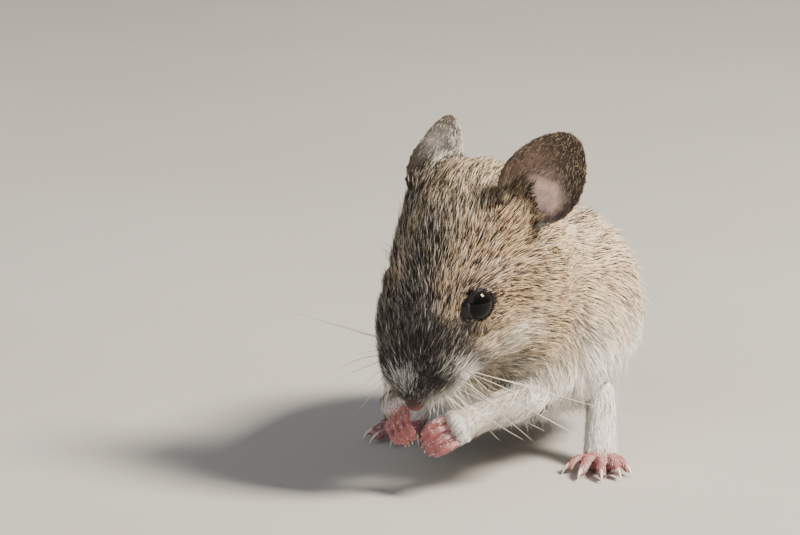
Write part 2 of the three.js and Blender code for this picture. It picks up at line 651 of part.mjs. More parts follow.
const looks = [
  [/^eye/, eyeBlack],
  [/^ear/, earSkin],
  [/^tail/, tailSkin],
  [/^(nose|forepaw|hind_foot)/, bareSkin],
  [/^(lower_jaw|forearm|belly)/, paleCoat],
  [/./, brownCoat],
];

function toMesh(name, made) {
  const { numProp, numVert, vertProperties, triVerts } = made.getMesh();
  const positions = new Float32Array(numVert * 3);
  for (let i = 0; i < numVert; i++) {
    const start = i * numProp;
    positions.set(vertProperties.subarray(start, start + 3), i * 3);
  }
  const geometry = new THREE.BufferGeometry();
  geometry.setAttribute("position", new THREE.BufferAttribute(positions, 3));
  geometry.setIndex(new THREE.BufferAttribute(new Uint32Array(triVerts), 1));
  geometry.computeVertexNormals();
  const look = looks.find(([pattern]) => pattern.test(name))[1];
  const mesh = new THREE.Mesh(geometry, look.clone());
  mesh.name = name;
  return mesh;
}

const mouse = new THREE.Group();
for (const [name, made] of pieces) mouse.add(toMesh(name, made));

// The origin is on the floor, under the middle of the whole animal's box.
const whole = new THREE.Box3().setFromObject(mouse, true);
const middle = whole.getCenter(new THREE.Vector3());
mouse.position.set(-middle.x, -middle.y, -whole.min.z);

export default mouse;
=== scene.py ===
"""Visual model of a half-grown long-tailed field mouse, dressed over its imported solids.

Shapes are worked out in millimetres in the row frame and turned into metres when a mesh is made.
"""

import logging
import math
from dataclasses import dataclass, field
from enum import Enum
from functools import cache
from typing import NamedTuple

import bmesh
import bpy
import numpy as np
from bpy.types import Material, Mesh, Node, NodeSocket, NodeTree, Object
from mathutils import Matrix, Vector
from mathutils.bvhtree import BVHTree
from mathutils.kdtree import KDTree


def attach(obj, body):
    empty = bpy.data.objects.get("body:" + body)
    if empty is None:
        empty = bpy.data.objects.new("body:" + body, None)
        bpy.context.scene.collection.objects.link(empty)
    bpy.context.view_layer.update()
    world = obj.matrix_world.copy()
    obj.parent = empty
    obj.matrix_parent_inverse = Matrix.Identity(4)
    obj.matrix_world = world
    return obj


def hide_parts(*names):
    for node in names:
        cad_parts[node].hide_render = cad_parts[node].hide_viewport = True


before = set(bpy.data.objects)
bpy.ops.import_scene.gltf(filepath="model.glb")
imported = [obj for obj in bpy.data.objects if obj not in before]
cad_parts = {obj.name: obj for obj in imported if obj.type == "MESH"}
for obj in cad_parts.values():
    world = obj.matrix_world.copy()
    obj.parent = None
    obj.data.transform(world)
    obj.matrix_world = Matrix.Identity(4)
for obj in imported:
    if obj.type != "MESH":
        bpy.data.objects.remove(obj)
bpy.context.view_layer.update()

log = logging.getLogger("field_mouse")

METRES = 0.001  # one millimetre
BODY = "root"
BAKE_MAP = "OFBake"
TUFT_PATCH = 0.003  # width of one tuft on the bake map
TUFT_ALONG = (0.0, 0.5, 0.5, 0.5, 1.0)  # how far along the hair each of a tuft's points lies
HAIR_GAP = 0.02  # least height of a hair over the skin or the floor, in millimetres

Array = np.ndarray
Draws = np.random.Generator
Place = tuple[float, float, float]  # a place, a size or a direction in millimetres


class Side(Enum):
    """The animal's own left and right."""

    LEFT = 1
    RIGHT = -1

    @property
    def label(self) -> str:
        """The side's word in node names."""
        return self.name.lower()


class Ground(Enum):
    """What covers a stretch of skin, as the skin's material slots."""

    FURRED = 0
    PAW = 1
    EAR = 2
    TAIL = 3
    NOSE = 4


# ---------------- small sums


def unit(vectors: Array) -> Array:
    """Vectors scaled to length 1 along the last axis."""
    return vectors / np.maximum(np.linalg.norm(vectors, axis=-1, keepdims=True), 1e-9)


def step(low: float, high: float, value: Array) -> Array:
    """A smooth step from 0 at low to 1 at high; low may be above high."""
    t = np.clip((value - low) / (high - low), 0.0, 1.0)
    return t * t * (3.0 - 2.0 * t)


def bell(value: Array, width: float) -> Array:
    """A bell curve that is 1 at zero and fades over width."""
    return np.exp(-((value / width) ** 2))


def strongest(*marks: Array) -> Array:
    """The largest of several marks at each point."""
    return np.maximum.reduce(marks)


def distance_to(points: Array, place: Array) -> Array:
    """How far each point lies from a place."""
    return np.linalg.norm(points - place, axis=1)


def wander(points: Array, size: float, seed: int) -> Array:
    """Soft noise from -1 to 1 at each point.

    Args:
        points: Positions in millimetres.
        size: Distance over which the noise changes.
        seed: Which of the noises.

    Returns:
        One value for each point.
    """
    rng = np.random.default_rng(seed)
    total = np.zeros(len(points))
    for octave in range(6):
        way = unit(rng.normal(size=3)) * (1.0 + 0.35 * octave) * 2.2 / size
        total += np.sin(points @ way + rng.uniform(0, 6.28)) / (1.0 + 0.3 * octave)
    return np.clip(total / 2.2, -1.0, 1.0)


def smooth_curve(points: list[Place], count: int) -> Array:
    """A Catmull-Rom curve through points, as count positions."""
    knots = np.array([points[0], *points, points[-1]], float)
    knots[0] = 2 * knots[1] - knots[2]
    knots[-1] = 2 * knots[-2] - knots[-3]
    spans = len(points) - 1
    out = []
    for value in np.linspace(0, spans, count):
        i = min(int(value), spans - 1)
        t = value - i
        a, b, c, d = knots[i : i + 4]
        bend = 2 * a - 5 * b + 4 * c - d
        twist = 3 * b - a - 3 * c + d
        out.append(0.5 * (2 * b + (c - a) * t + bend * t**2 + twist * t**3))
    return np.array(out)


# ---------------- anatomy


@dataclass(frozen=True)
class HeadFrame:
    """The head's own frame: x to its left, y towards the nape and z to the crown."""

    origin: Place = (9.59, -48.87, 24.70)
    pitch: float = 53.0
    roll: float = 12.0
    turn: float = -20.0

    def turned(self) -> Array:
        """The rotation whose columns are the head's axes."""
        turn = Matrix.Rotation(math.radians(self.turn), 3, "Z")
        pitch = Matrix.Rotation(math.radians(self.pitch), 3, "X")
        roll = Matrix.Rotation(math.radians(self.roll), 3, "Y")
        return np.array(turn @ pitch @ roll)

    def place(self, local: Place) -> Array:
        """A point of the head's frame in the row frame."""
        return self.turned() @ np.array(local, float) + np.array(self.origin)

    def direction(self, local: Place) -> Array:
        """A direction of the head's frame in the row frame."""
        return unit(self.turned() @ np.array(local, float))

    def local(self, points: Array) -> Array:
        """Row-frame points in the head's frame."""
        return (points - np.array(self.origin)) @ self.turned()


HEAD = HeadFrame()
ROW_SHIFT = np.array([8.79, -31.66, 0.0])  # from the body's middle to the row frame
EYE_RADIUS = 2.15
CORNER_SPREAD = 1.15  # how far the dark skin runs round an eye's front corner
NOSE_TIP = (0.5, -12.25, -5.05)


def mirrored(side: Side, local: Place) -> Place:
    """A left-hand point or direction on either side."""
    return (local[0] * side.value, local[1], local[2])


@dataclass(frozen=True)
class Blot:
    """An oval patch of a marking, by its middle and half widths in the frame of its points."""

    middle: Place
    size: Place
    paired: bool = False  # the same on both sides of the middle plane

    def share(self, places: Array, fade: float = 1.0) -> Array:
        """How strongly the patch marks each place, from 0 to 1.

        Args:
            places: Positions in the patch's own frame.
            fade: How far the patch fades out, in half widths.

        Returns:
            One share for each place.
        """
        if self.paired:
            places = np.column_stack([np.abs(places[:, 0]), places[:, 1:]])
        return bell(np.linalg.norm((places - self.middle) / self.size, axis=1), fade)


# Patches of the face, in the head's frame.
CROWN_FUZZ = Blot((1.0, 11.0, 6.5), (6.0, 4.0, 4.0))
CHEEK_SPOT = Blot((7.6, 3.3, 0.8), (0.75, 0.75, 0.75), paired=True)
EAR_FRONT = Blot((6.9, 10.8, 4.2), (2.6, 2.6, 2.6))
LOW_CHEEK = Blot((8.2, -2.2, -6.2), (3.0, 4.0, 2.2), paired=True)
BEFORE_EYE = Blot((6.1, -5.2, 0.1), (2.5, 3.0, 2.2), paired=True)
NOSE_BACK = Blot((1.8, -8.2, 0.2), (3.6, 2.8, 2.3))
BESIDE_NOSE = Blot((2.7, -10.1, -1.9), (1.1, 1.4, 1.4))
SILVER_SIZE = (1.2, 1.2, 1.2)
SILVER_BLOTS = (
    (0.42, Blot((0.1, -11.2, -2.6), SILVER_SIZE)),
    (0.40, Blot((-0.9, -11.4, -3.4), SILVER_SIZE)),
    (0.40, Blot((4.9, -8.9, -2.1), SILVER_SIZE)),
    (0.40, Blot((5.6, -8.2, -3.3), SILVER_SIZE)),
)
# Painted shade on the body where it meets the cheek: darker and browner hair.
SHADE_BEHIND_CHEEK = Blot((13.2, -3.5, 18.4), (4.0, 3.6, 6.5))  # in the body's frame


@dataclass(frozen=True)
class EarShape:
    """The cup of one ear: where it grows and which way it opens, in the head's frame."""

    side: Side
    root: Place
    axis: Place
    face: Place
    length: float = 13.2
    width: float = 9.9

    def facing(self) -> Array:
        """The way the cup opens, in the row frame."""
        axis = HEAD.direction(mirrored(self.side, self.axis))
        face = HEAD.direction(mirrored(self.side, self.face))
        return unit(face - axis * (face @ axis))

    def coordinates(self, points: Array) -> tuple[Array, Array]:
        """How high and how far across each point lies in the ear.

        Args:
            points: Row-frame points in millimetres.

        Returns:
            Height from 0 at the root to 1 at the tip, and breadth from -1 to 1.
        """
        axis = HEAD.direction(mirrored(self.side, self.axis))
        across = np.cross(axis, self.facing()) * self.side.value
        q = points - HEAD.place(mirrored(self.side, self.root))
        return q @ axis / self.length, q @ across / (self.width / 2)

    def marks(self, points: Array, normals: Array) -> dict[str, Array]:
        """The ear's markings by name, each from 0 to 1.

        Args:
            points: Row-frame points in millimetres.
            normals: The skin's normal at each point.

        Returns:
            The inner side, the pink hollow, the brown veil over it, the painted shade along the cup's edge
            above the hollow, the dark rim and the silvery back, lit across most of its breadth as painted
            sunlight.
        """
        high, wide = self.coordinates(points)
        inner = step(-0.1, 0.25, normals @ self.facing())
        hollow = bell(np.hypot((high - 0.24) / 0.17, (wide - 0.26) / 0.45), 1.0)
        return {
            "inner": inner,
            "concha": inner * np.clip(1.3 * hollow, 0, 1),
            "veil": inner * bell(np.hypot((high - 0.42) / 0.24, (wide + 0.3) / 0.55), 1.0),
            # painted shade along the edge of the cup above the hollow
            "fold_shade": inner * bell(high - 0.37 - 0.06 * wide, 0.05) * bell(wide - 0.15, 0.5),
            "rim": step(0.84, 0.98, np.hypot(wide, (high - 0.46) * 2.0)),
            # silvery hair of the back, lighter where the sun falls across it and dark along its shaded edge:
            # partly painted light
            "sunlit_silver": (1 - inner) * step(-0.75, -0.05, wide + 0.3 * wander(points, 2.0, 9)),
        }


EARS = {
    Side.LEFT: EarShape(Side.LEFT, (7.6, 10.6, 2.9), (0.42, 0.76, 0.5), (0.65, -0.5, 0.55)),
    Side.RIGHT: EarShape(Side.RIGHT, (6.8, 8.95, 2.85), (0.08, 0.97, -0.14), (0.95, 0.0, 0.05)),
}


@dataclass(frozen=True)
class EyePlace:
    """Where an eye sits and looks, in the head's frame."""

    side: Side
    axis_left: Place = (0.87, -0.3, 0.36)
    slant: float = 0.58  # how far the front corner lies above the line to the nose, in radians

    def centre(self) -> Array:
        """The eyeball's centre in the row frame; the right eye sits deeper."""
        return HEAD.place((5.5, -0.1, 0.55) if self.side is Side.LEFT else (-4.9, 0.05, 0.4))

    def corner(self) -> Array:
        """The tip of the eye's front corner in the row frame."""
        forward, up, axis = self.basis()
        way = forward * math.cos(self.slant) + up * math.sin(self.slant)
        return self.centre() + EYE_RADIUS * (1.25 * way + 0.1 * axis)

    def basis(self) -> tuple[Array, Array, Array]:
        """The way towards the nose, the way up and the way the eye looks."""
        axis = HEAD.direction(mirrored(self.side, self.axis_left))
        forward = HEAD.direction((0.0, -1.0, -0.25))
        forward = unit(forward - axis * (forward @ axis))
        return forward, np.cross(axis, forward) * -self.side.value, axis


@dataclass(frozen=True)
class Digit:
    """One finger or toe: its knuckle, its tip and its thickness, in the row frame."""

    knuckle: Array
    tip: Array
    radius: float
    on_floor: bool


def forepaw_line(side: Side) -> tuple[Array, Array]:
    """One hand's wrist and the end of its fingers."""
    left = side is Side.LEFT
    wrist = np.array((4.1, -16.0, 9.2) if left else (-5.3, -16.0, 10.6)) + ROW_SHIFT
    return wrist, np.array((-0.9, -19.4, 5.8) if left else (-2.9, -18.3, 6.4)) + ROW_SHIFT


def elbow_of(side: Side) -> Array:
    """One elbow; the right arm is tucked in under the head."""
    return np.array((10.7, -6.4, 13.0) if side is Side.LEFT else (-8.5, -5.4, 13.4)) + ROW_SHIFT


def forepaw_digits(side: Side) -> list[Digit]:
    """The four fingers of one forepaw, curled towards the mouth."""
    wrist, tips = forepaw_line(side)
    up = unit(np.array((0.4, -0.66, 0.62) if side is Side.LEFT else (-0.55, -0.75, 0.35)))
    reach = unit(tips - wrist)
    across = unit(np.cross(reach, up))
    palm_end = wrist + (tips - wrist) * 0.34
    digits = []
    for i in range(4):
        off = i - 1.5
        root = palm_end + across * off * 1.1 - reach * 0.5
        knuckle = root + reach * 2.3 + across * off * 0.1 + up * 0.45
        tip = knuckle + reach * (1.6 - 0.25 * abs(off)) - across * off * 0.4 - up
        digits.append(Digit(knuckle, tip, 0.52, False))
    return digits


# Each toe: distance out from the ball, turn in degrees, length and thickness.
TOES = (
    (-1.5, -56, 3.2, 0.68),
    (-1.0, -20, 4.8, 0.74),
    (0.0, -1, 5.3, 0.76),
    (0.95, 14, 4.6, 0.74),
    (1.5, 34, 3.2, 0.68),
)
FOOT_SPLAY = math.radians(24)
RIGHT_FOOT_BACK = 4.5
KNUCKLE_HEIGHT = 1.65


def foot_line(side: Side) -> tuple[Array, Array]:
    """One hind foot's heel and the ball of its toes; the right foot is set further back."""
    back = 0.0 if side is Side.LEFT else RIGHT_FOOT_BACK
    heel = np.array((11.2 * side.value, 8.0 + back, 9.4)) + ROW_SHIFT
    return heel, np.array((14.0 * side.value, 1.6 + back, 1.15)) + ROW_SHIFT


def foot_forward(side: Side) -> Array:
    """The way one hind foot points on the floor."""
    return np.array((side.value * math.sin(FOOT_SPLAY), -math.cos(FOOT_SPLAY), 0.0))


def hindpaw_digits(side: Side) -> list[Digit]:
    """The five toes of one hind foot, spread on the floor."""
    s = side.value
    _, ball = foot_line(side)
    forward = foot_forward(side)
    outward = np.array((s * math.cos(FOOT_SPLAY), math.sin(FOOT_SPLAY), 0.0))
    digits = []
    for out, angle, length, radius in TOES:
        way = np.array(Matrix.Rotation(math.radians(angle) * s, 3, "Z")) @ forward
        root = ball + outward * out
        knuckle = root + way * length * 0.5
        knuckle[2] = KNUCKLE_HEIGHT
        tip = root + way * length
        tip[2] = radius * 0.82
        digits.append(Digit(knuckle, tip, radius, True))
    return digits


TAIL_ROUTE = smooth_curve(
    [tuple(np.array(p) + ROW_SHIFT) for p in (
        (0, 24, 10), (0.3, 30.5, 6.2), (0, 35.5, 2.6), (-2.2, 41, 1.45), (-7, 50, 1.25),
        (-13, 60, 1.05), (-20, 70, 0.85), (-28, 79, 0.65), (-36.5, 86, 0.4),
    )],
    160,
)


def all_digits() -> list[Digit]:
    """Every finger and toe."""
    return [digit for side in Side for digit in forepaw_digits(side) + hindpaw_digits(side)]


def along_tail(points: Array) -> tuple[Array, Array]:
    """Distance run along the tail and the tail's direction, for points near it."""
    tree = KDTree(len(TAIL_ROUTE))
    for i, knot in enumerate(TAIL_ROUTE):
        tree.insert(knot, i)
    tree.balance()
    nearest = np.array([tree.find(p)[1] for p in points], int)
    ways = unit(np.gradient(TAIL_ROUTE, axis=0))
    runs = np.concatenate([[0], np.cumsum(np.linalg.norm(np.diff(TAIL_ROUTE, axis=0), axis=1))])
    way = ways[nearest]
    offset = ((points - TAIL_ROUTE[nearest]) * way).sum(1)
    return runs[nearest] + offset, way


# ---------------- meshes


def new_object(name: str, mesh: Mesh) -> Object:
    """An object in the scene that holds mesh."""
    obj = bpy.data.objects.new(name, mesh)
    bpy.context.scene.collection.objects.link(obj)
    return obj


def mesh_from(name: str, points: Array, faces: Array) -> Mesh:
    """A mesh in metres from millimetre points and faces of one size.

    Args:
        name: The mesh's name.
        points: Array (n, 3) in millimetres.
        faces: Array (m, 3) or (m, 4) of point numbers.

    Returns:
        The new mesh, smooth shaded.
    """
    mesh = bpy.data.meshes.new(name)
    sides = faces.shape[1]
    mesh.vertices.add(len(points))
    mesh.vertices.foreach_set("co", (points * METRES).astype(np.float32).ravel())
    mesh.loops.add(faces.size)
    mesh.loops.foreach_set("vertex_index", faces.astype(np.int32).ravel())
    mesh.polygons.add(len(faces))
    mesh.polygons.foreach_set("loop_start", np.arange(0, faces.size, sides, dtype=np.int32))
    mesh.polygons.foreach_set("use_smooth", np.ones(len(faces), bool))
    mesh.update(calc_edges=True)
    return mesh


def put_values(mesh: Mesh, name: str, values: Array) -> None:
    """Stores one number for each point of a mesh under a name that materials can read."""
    layer = mesh.attributes.new(name, "FLOAT", "POINT")
    layer.data.foreach_set("value", values.astype(np.float32))


@dataclass
class TubeMesh:
    """Round tapered tubes along curves, gathered into one mesh."""

    points: list[Array] = field(default_factory=list)
    faces: list[Array] = field(default_factory=list)
    values: dict[str, list[Array]] = field(default_factory=dict)
    count: int = 0

    def add(self, route: Array, radii: Array, sides: int = 5, **values: Array) -> None:
        """Adds one closed tube.

        Args:
            route: Positions along its middle.
            radii: Its radius at each position.
            sides: How many sides it has.
            **values: Numbers to store at each position, by name.
        """
        ways = unit(np.gradient(route, axis=0))
        helper = np.array((0.0, 0.0, 1.0)) if abs(ways[0][2]) < 0.8 else np.array((1.0, 0.0, 0.0))
        rings = []
        for position, way, radius in zip(route, ways, radii):
            u = unit(np.cross(way, helper))
            v = np.cross(way, u)
            turn = np.arange(sides) * 2 * math.pi / sides
            rings.append(position + radius * (np.cos(turn)[:, None] * u + np.sin(turn)[:, None] * v))
        ends = np.array([route[0], route[-1]])
        self.points.append(np.concatenate([*rings, ends]))
        faces = []
        last = len(route) - 1
        for i in range(last):
            for k in range(sides):
                a, b = i * sides + k, i * sides + (k + 1) % sides
                faces += [(a, b, b + sides), (a, b + sides, a + sides)]
        head, tail = len(route) * sides, len(route) * sides + 1
        for k in range(sides):
            faces.append((head, (k + 1) % sides, k))
            faces.append((tail, last * sides + k, last * sides + (k + 1) % sides))
        self.faces.append(np.array(faces) + self.count)
        self.count += len(self.points[-1])
        for name, per_ring in values.items():
            spread = np.concatenate([np.repeat(per_ring, sides), [per_ring[0], per_ring[-1]]])
            self.values.setdefault(name, []).append(spread)

    def build(self, name: str) -> Object:
        """The object that holds all the tubes."""
        mesh = mesh_from(name, np.concatenate(self.points), np.concatenate(self.faces))
        for key, parts in self.values.items():
            put_values(mesh, key, np.concatenate(parts))
        return new_object(name, mesh)


# ---------------- skin


@dataclass(frozen=True)
class Coat:
    """How the hair grows on one part of the body, in millimetres."""

    depth: float
    length: float
    width: float
    density: float = 1.0
    white_below: float = 14.0  # height in the row frame under which the hair is white
    hang: float = 0.0  # share of its length by which hair on the underside hangs down
    soft: float = 0.0  # 1 where the hair is woolly and evenly coloured


COATS = {
    "muzzle": Coat(0.6, 2.2, 0.050, 3.4),
    "nose": Coat(0.0, 0.5, 0.05, 0.0),
    "lower_jaw": Coat(0.5, 1.9, 0.070, 2.0),
    "head": Coat(1.05, 2.7, 0.076, 2.6),
    "neck": Coat(1.8, 4.6, 0.105, 1.2, 14.0, 0.1, 1.0),
    "chest": Coat(1.8, 4.8, 0.11, 1.0, 16.0, 0.6, 0.9),
    "belly": Coat(1.9, 5.2, 0.12, 0.9, 15.5, 0.3, 1.0),
    "rump": Coat(1.9, 5.2, 0.12, 0.9, 16.5, 0.2, 1.0),
    "upper_arm": Coat(1.3, 4.0, 0.10, 1.0, 16.4, 0.4, 0.9),
    "forearm": Coat(0.5, 2.4, 0.062, 1.8, 13.4, 0.35, 0.3),
    "forepaw": Coat(0.0, 1.0, 0.045, 1.0, 30.0),
    "thigh": Coat(1.6, 4.8, 0.11, 1.0, 17.5, 0.5, 1.0),
    "hind_foot": Coat(0.05, 1.5, 0.055, 1.0, 30.0),
    "tail": Coat(0.0, 0.9, 0.045, 1.0, 0.0),
    "ear": Coat(0.0, 0.9, 0.045, 1.0, 0.0),
}


def kind_of(node: str) -> str:
    """The part's kind, without its side or number."""
    for kind in COATS:
        if node == kind or node.startswith(kind + "_"):
            return kind
    raise ValueError(node)


FLESH = sorted(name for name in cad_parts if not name.startswith("eye_"))
GROUNDS = {
    "forepaw": Ground.PAW,
    "hind_foot": Ground.PAW,
    "ear": Ground.EAR,
    "tail": Ground.TAIL,
    "nose": Ground.NOSE,
}
FINE = ("forepaw", "hind_foot")  # kinds with a finer skin of their own
LIMB_REACH = 1.0  # how near to a limb's solid its skin may lie over a paw, in millimetres
SOLE_HEIGHT = 0.12  # skin lower than this is flattened on the floor, in millimetres
HEAD_KINDS = ("head", "muzzle", "lower_jaw", "nose")
EAR_MARKS = ("inner", "concha", "veil", "fold_shade", "rim", "sunlit_silver")
COAT_MARKS = ("pale", "dusk", "warm", "soft", "soot", "inner", "concha", "rim", "sunlit_silver")


@dataclass(frozen=True)
class Shell:
    """One pass of joining solids: which kinds, how far each grows and how fine the skin is."""

    voxel: float
    swell: float
    special: tuple[tuple[str, float], ...] = ()
    kinds: tuple[str, ...] = tuple(COATS)

    def swell_of(self, node: str) -> float:
        """How far a solid grows before it is joined, in millimetres."""
        return dict(self.special).get(kind_of(node), self.swell)


SHELLS = (
    Shell(0.24, 0.3, (("ear", 0.2), ("forepaw", -0.25), ("hind_foot", -0.3))),
    Shell(0.12, 0.09, kinds=FINE),
)


@dataclass
class Surface:
    """A surface of quads held as arrays, with sums over its neighbours."""

    points: Array
    faces: Array
    edges: Array

    def __post_init__(self) -> None:
        """Counts each point's neighbours."""
        self.degree = np.bincount(self.edges.ravel(), minlength=len(self.points)).astype(float)

    def around(self, values: Array) -> Array:
        """The mean of each point's neighbours."""
        flat = values.reshape(len(values), -1)
        a, b = self.edges.T
        out = np.empty_like(flat)
        for k in range(flat.shape[1]):
            total = np.bincount(a, flat[b, k], len(flat)) + np.bincount(b, flat[a, k], len(flat))
            out[:, k] = total / np.maximum(self.degree, 1)
        return out.reshape(values.shape)

    def spread(self, values: Array, rounds: int, share: float | Array = 0.5) -> Array:
        """Values mixed with their neighbours a number of times."""
        for _ in range(rounds):
            values = values + (self.around(values) - values) * share
        return values

    def normals(self) -> Array:
        """One outward normal for each point."""
        p = self.points[self.faces]
        across = np.cross(p[:, 2] - p[:, 0], p[:, 3] - p[:, 1])
        out = np.zeros_like(self.points)
        for corner in range(4):
            for k in range(3):
                out[:, k] += np.bincount(self.faces[:, corner], across[:, k], len(out))
        return unit(out)

    def tree(self) -> BVHTree:
        """A search tree over the surface."""
        return BVHTree.FromPolygons(self.points.tolist(), self.faces.tolist())


@dataclass
class Skin:
    """One skin over the whole animal, inside its solids by the depth of the coat."""

    settle_steps: int = 5
    polish_rounds: int = 9
    fine_rounds: int = 14
    most_moved: float = 0.4  # how far smoothing may carry the skin of a paw, in millimetres

    def build(self) -> Object:
        """Makes the skin's mesh and its fields.

        Returns:
            The skin object, with one material slot for each kind of ground.
        """
        made = [self._shell(shell) for shell in SHELLS]
        counts = [len(surface.points) for surface, _, _ in made]
        starts = np.cumsum([0, *counts[:-1]])
        self.surface = Surface(
            np.concatenate([surface.points for surface, _, _ in made]),
            np.concatenate([surface.faces + start for (surface, _, _), start in zip(made, starts)]),
            np.concatenate([surface.edges + start for (surface, _, _), start in zip(made, starts)]),
        )
        self.owner = np.concatenate([owner for _, owner, _ in made])
        self.swell = np.concatenate([swell for _, _, swell in made])
        self.fine = np.repeat(np.arange(len(made)), counts) > 0
        self.kinds = np.array([kind_of(name) for name in FLESH])[self.owner]
        self.names = np.array(FLESH)[self.owner]
        self.buried = ~self.fine & np.isin(self.kinds, FINE)
        self._measure()
        self._settle()
        self._lay_hair()
        self._mark()
        return self._dress()

    def _shell(self, shell: Shell) -> tuple[Surface, Array, Array]:
        """Joins the swollen solids of one shell into an even surface.

        Args:
            shell: Which solids, how much they grow and how fine the surface is.

        Returns:
            The surface, the number of the solid nearest to each point and its swelling.
        """
        swollen, points, faces, owners = self._swell_solids(shell)
        surface = self._remesh(swollen, shell.voxel)
        tree = BVHTree.FromPolygons(points, faces)
        hits = [tree.find_nearest(p) for p in surface.points.tolist()]
        owner = owners[np.array([hit[2] for hit in hits])]
        if shell.kinds != FINE:  # what shows of the coarse shell beside a paw belongs to the limb
            in_fine = np.array([kind_of(name) in FINE for name in FLESH])
            rest = np.nonzero(~in_fine[owners])[0]
            coarse = BVHTree.FromPolygons(points, [faces[i] for i in rest])
            for i in np.nonzero(in_fine[owner])[0]:
                place, normal = hits[i][0], hits[i][1]
                _, _, face, far = coarse.find_nearest(surface.points[i])
                if far < LIMB_REACH and (Vector(surface.points[i]) - place).dot(normal) > 0:
                    owner[i] = owners[rest[face]]
        swell = np.array([shell.swell_of(name) for name in FLESH])[owner]
        return surface, owner, surface.spread(swell, 6)

    def _swell_solids(self, shell: Shell) -> tuple[bmesh.types.BMesh, list, list, Array]:
        """Grows the solids of one shell.

        Args:
            shell: Which solids, and how much each grows.

        Returns:
            The grown solids in one heap; and of the solids as they were, the points, the
            triangles and each triangle's place in FLESH.
        """
        points, faces, owners = [], [], []
        swollen = bmesh.new()
        for number, name in enumerate(FLESH):
            if kind_of(name) not in shell.kinds:
                continue
            piece = bmesh.new()
            piece.from_mesh(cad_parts[name].data)
            bmesh.ops.scale(piece, vec=Vector((1, 1, 1)) / METRES, verts=piece.verts)
            bmesh.ops.remove_doubles(piece, verts=piece.verts, dist=1e-4)
            bmesh.ops.triangulate(piece, faces=piece.faces)
            piece.normal_update()
            piece.verts.index_update()
            faces += [[v.index + len(points) for v in f.verts] for f in piece.faces]
            points += [v.co[:] for v in piece.verts]
            owners += [number] * len(piece.faces)
            made = [swollen.verts.new(v.co + v.normal * shell.swell_of(name)) for v in piece.verts]
            for f in piece.faces:
                swollen.faces.new([made[v.index] for v in f.verts])
            piece.free()
        return swollen, points, faces, np.array(owners)

    def _remesh(self, swollen: bmesh.types.BMesh, voxel: float) -> Surface:
        """Turns a heap of overlapping solids into one even surface."""
        mesh = bpy.data.meshes.new("swollen")
        swollen.to_mesh(mesh)
        swollen.free()
        obj = new_object("swollen", mesh)
        melt = obj.modifiers.new("melt", "REMESH")
        melt.mode = "VOXEL"
        melt.voxel_size = voxel
        graph = bpy.context.evaluated_depsgraph_get()
        even = bpy.data.meshes.new_from_object(obj.evaluated_get(graph))
        points = np.empty(len(even.vertices) * 3, np.float32)
        even.vertices.foreach_get("co", points)
        faces = np.empty(len(even.polygons) * 4, np.int32)
        even.polygons.foreach_get("vertices", faces)
        edges = np.empty(len(even.edges) * 2, np.int32)
        even.edges.foreach_get("vertices", edges)
        bpy.data.objects.remove(obj)
        bpy.data.meshes.remove(mesh)
        bpy.data.meshes.remove(even)
        log.info("skin of %d faces at %.2f mm", len(faces) // 4, voxel)
        return Surface(points.reshape(-1, 3).astype(float), faces.reshape(-1, 4), edges.reshape(-1, 2))

    def _measure(self) -> None:
        """Spreads the coat's depth, length, width and density over the skin."""
        kinds = {kind: i for i, kind in enumerate(COATS)}
        index = np.array([kinds[k] for k in self.kinds])
        table = np.array([(coat.depth, coat.length, coat.width, coat.density, coat.white_below,
                           coat.hang, coat.soft) for coat in COATS.values()])
        fields = self.surface.spread(table[index], 40)
        depth, length, self.width, self.density, self.white_below, self.hang, self.soft = fields.T
        own = table[index]
        furred = np.isin(self.kinds, ["head", "neck", "forearm"])
        length = np.where(furred, np.maximum(length, 0.8 * own[:, 1]), length)
        self.density = np.where(furred, np.maximum(self.density, 0.95 * own[:, 3]), self.density)
        points = self.surface.points
        q = HEAD.local(points)
        self.from_eye = np.minimum(*[distance_to(points, EyePlace(s).centre()) for s in Side]) - EYE_RADIUS
        self.from_corner = np.minimum(*[distance_to(points, EyePlace(s).corner()) for s in Side])
        self.fuzz = 0.22 + 0.55 * CROWN_FUZZ.share(q)
        brow = step(0.0, 2.2, q[:, 2] - 0.2)
        far_side = step(0.0, -2.0, q[:, 0])
        near_eye = step(0.3, 3.2 - 1.4 * brow - 1.3 * far_side, self.from_eye)
        snout = step(0.8, 3.8, distance_to(q, np.array(NOSE_TIP)))
        bare = np.isin(self.kinds, list(GROUNDS))
        depth = np.where(bare, np.minimum(depth, 0.12), depth * (0.12 + 0.88 * near_eye))
        depth = self.surface.spread(depth * (0.5 + 0.5 * snout), 8)
        self.depth = depth + 0.75 * bell(self.from_corner, CORNER_SPREAD)
        self.length = length * (0.3 + 0.7 * near_eye) * (0.6 + 0.4 * snout)
        self.width = self.width * (0.7 + 0.3 * near_eye) * (0.8 + 0.2 * snout)
        self._thin_out_paws()

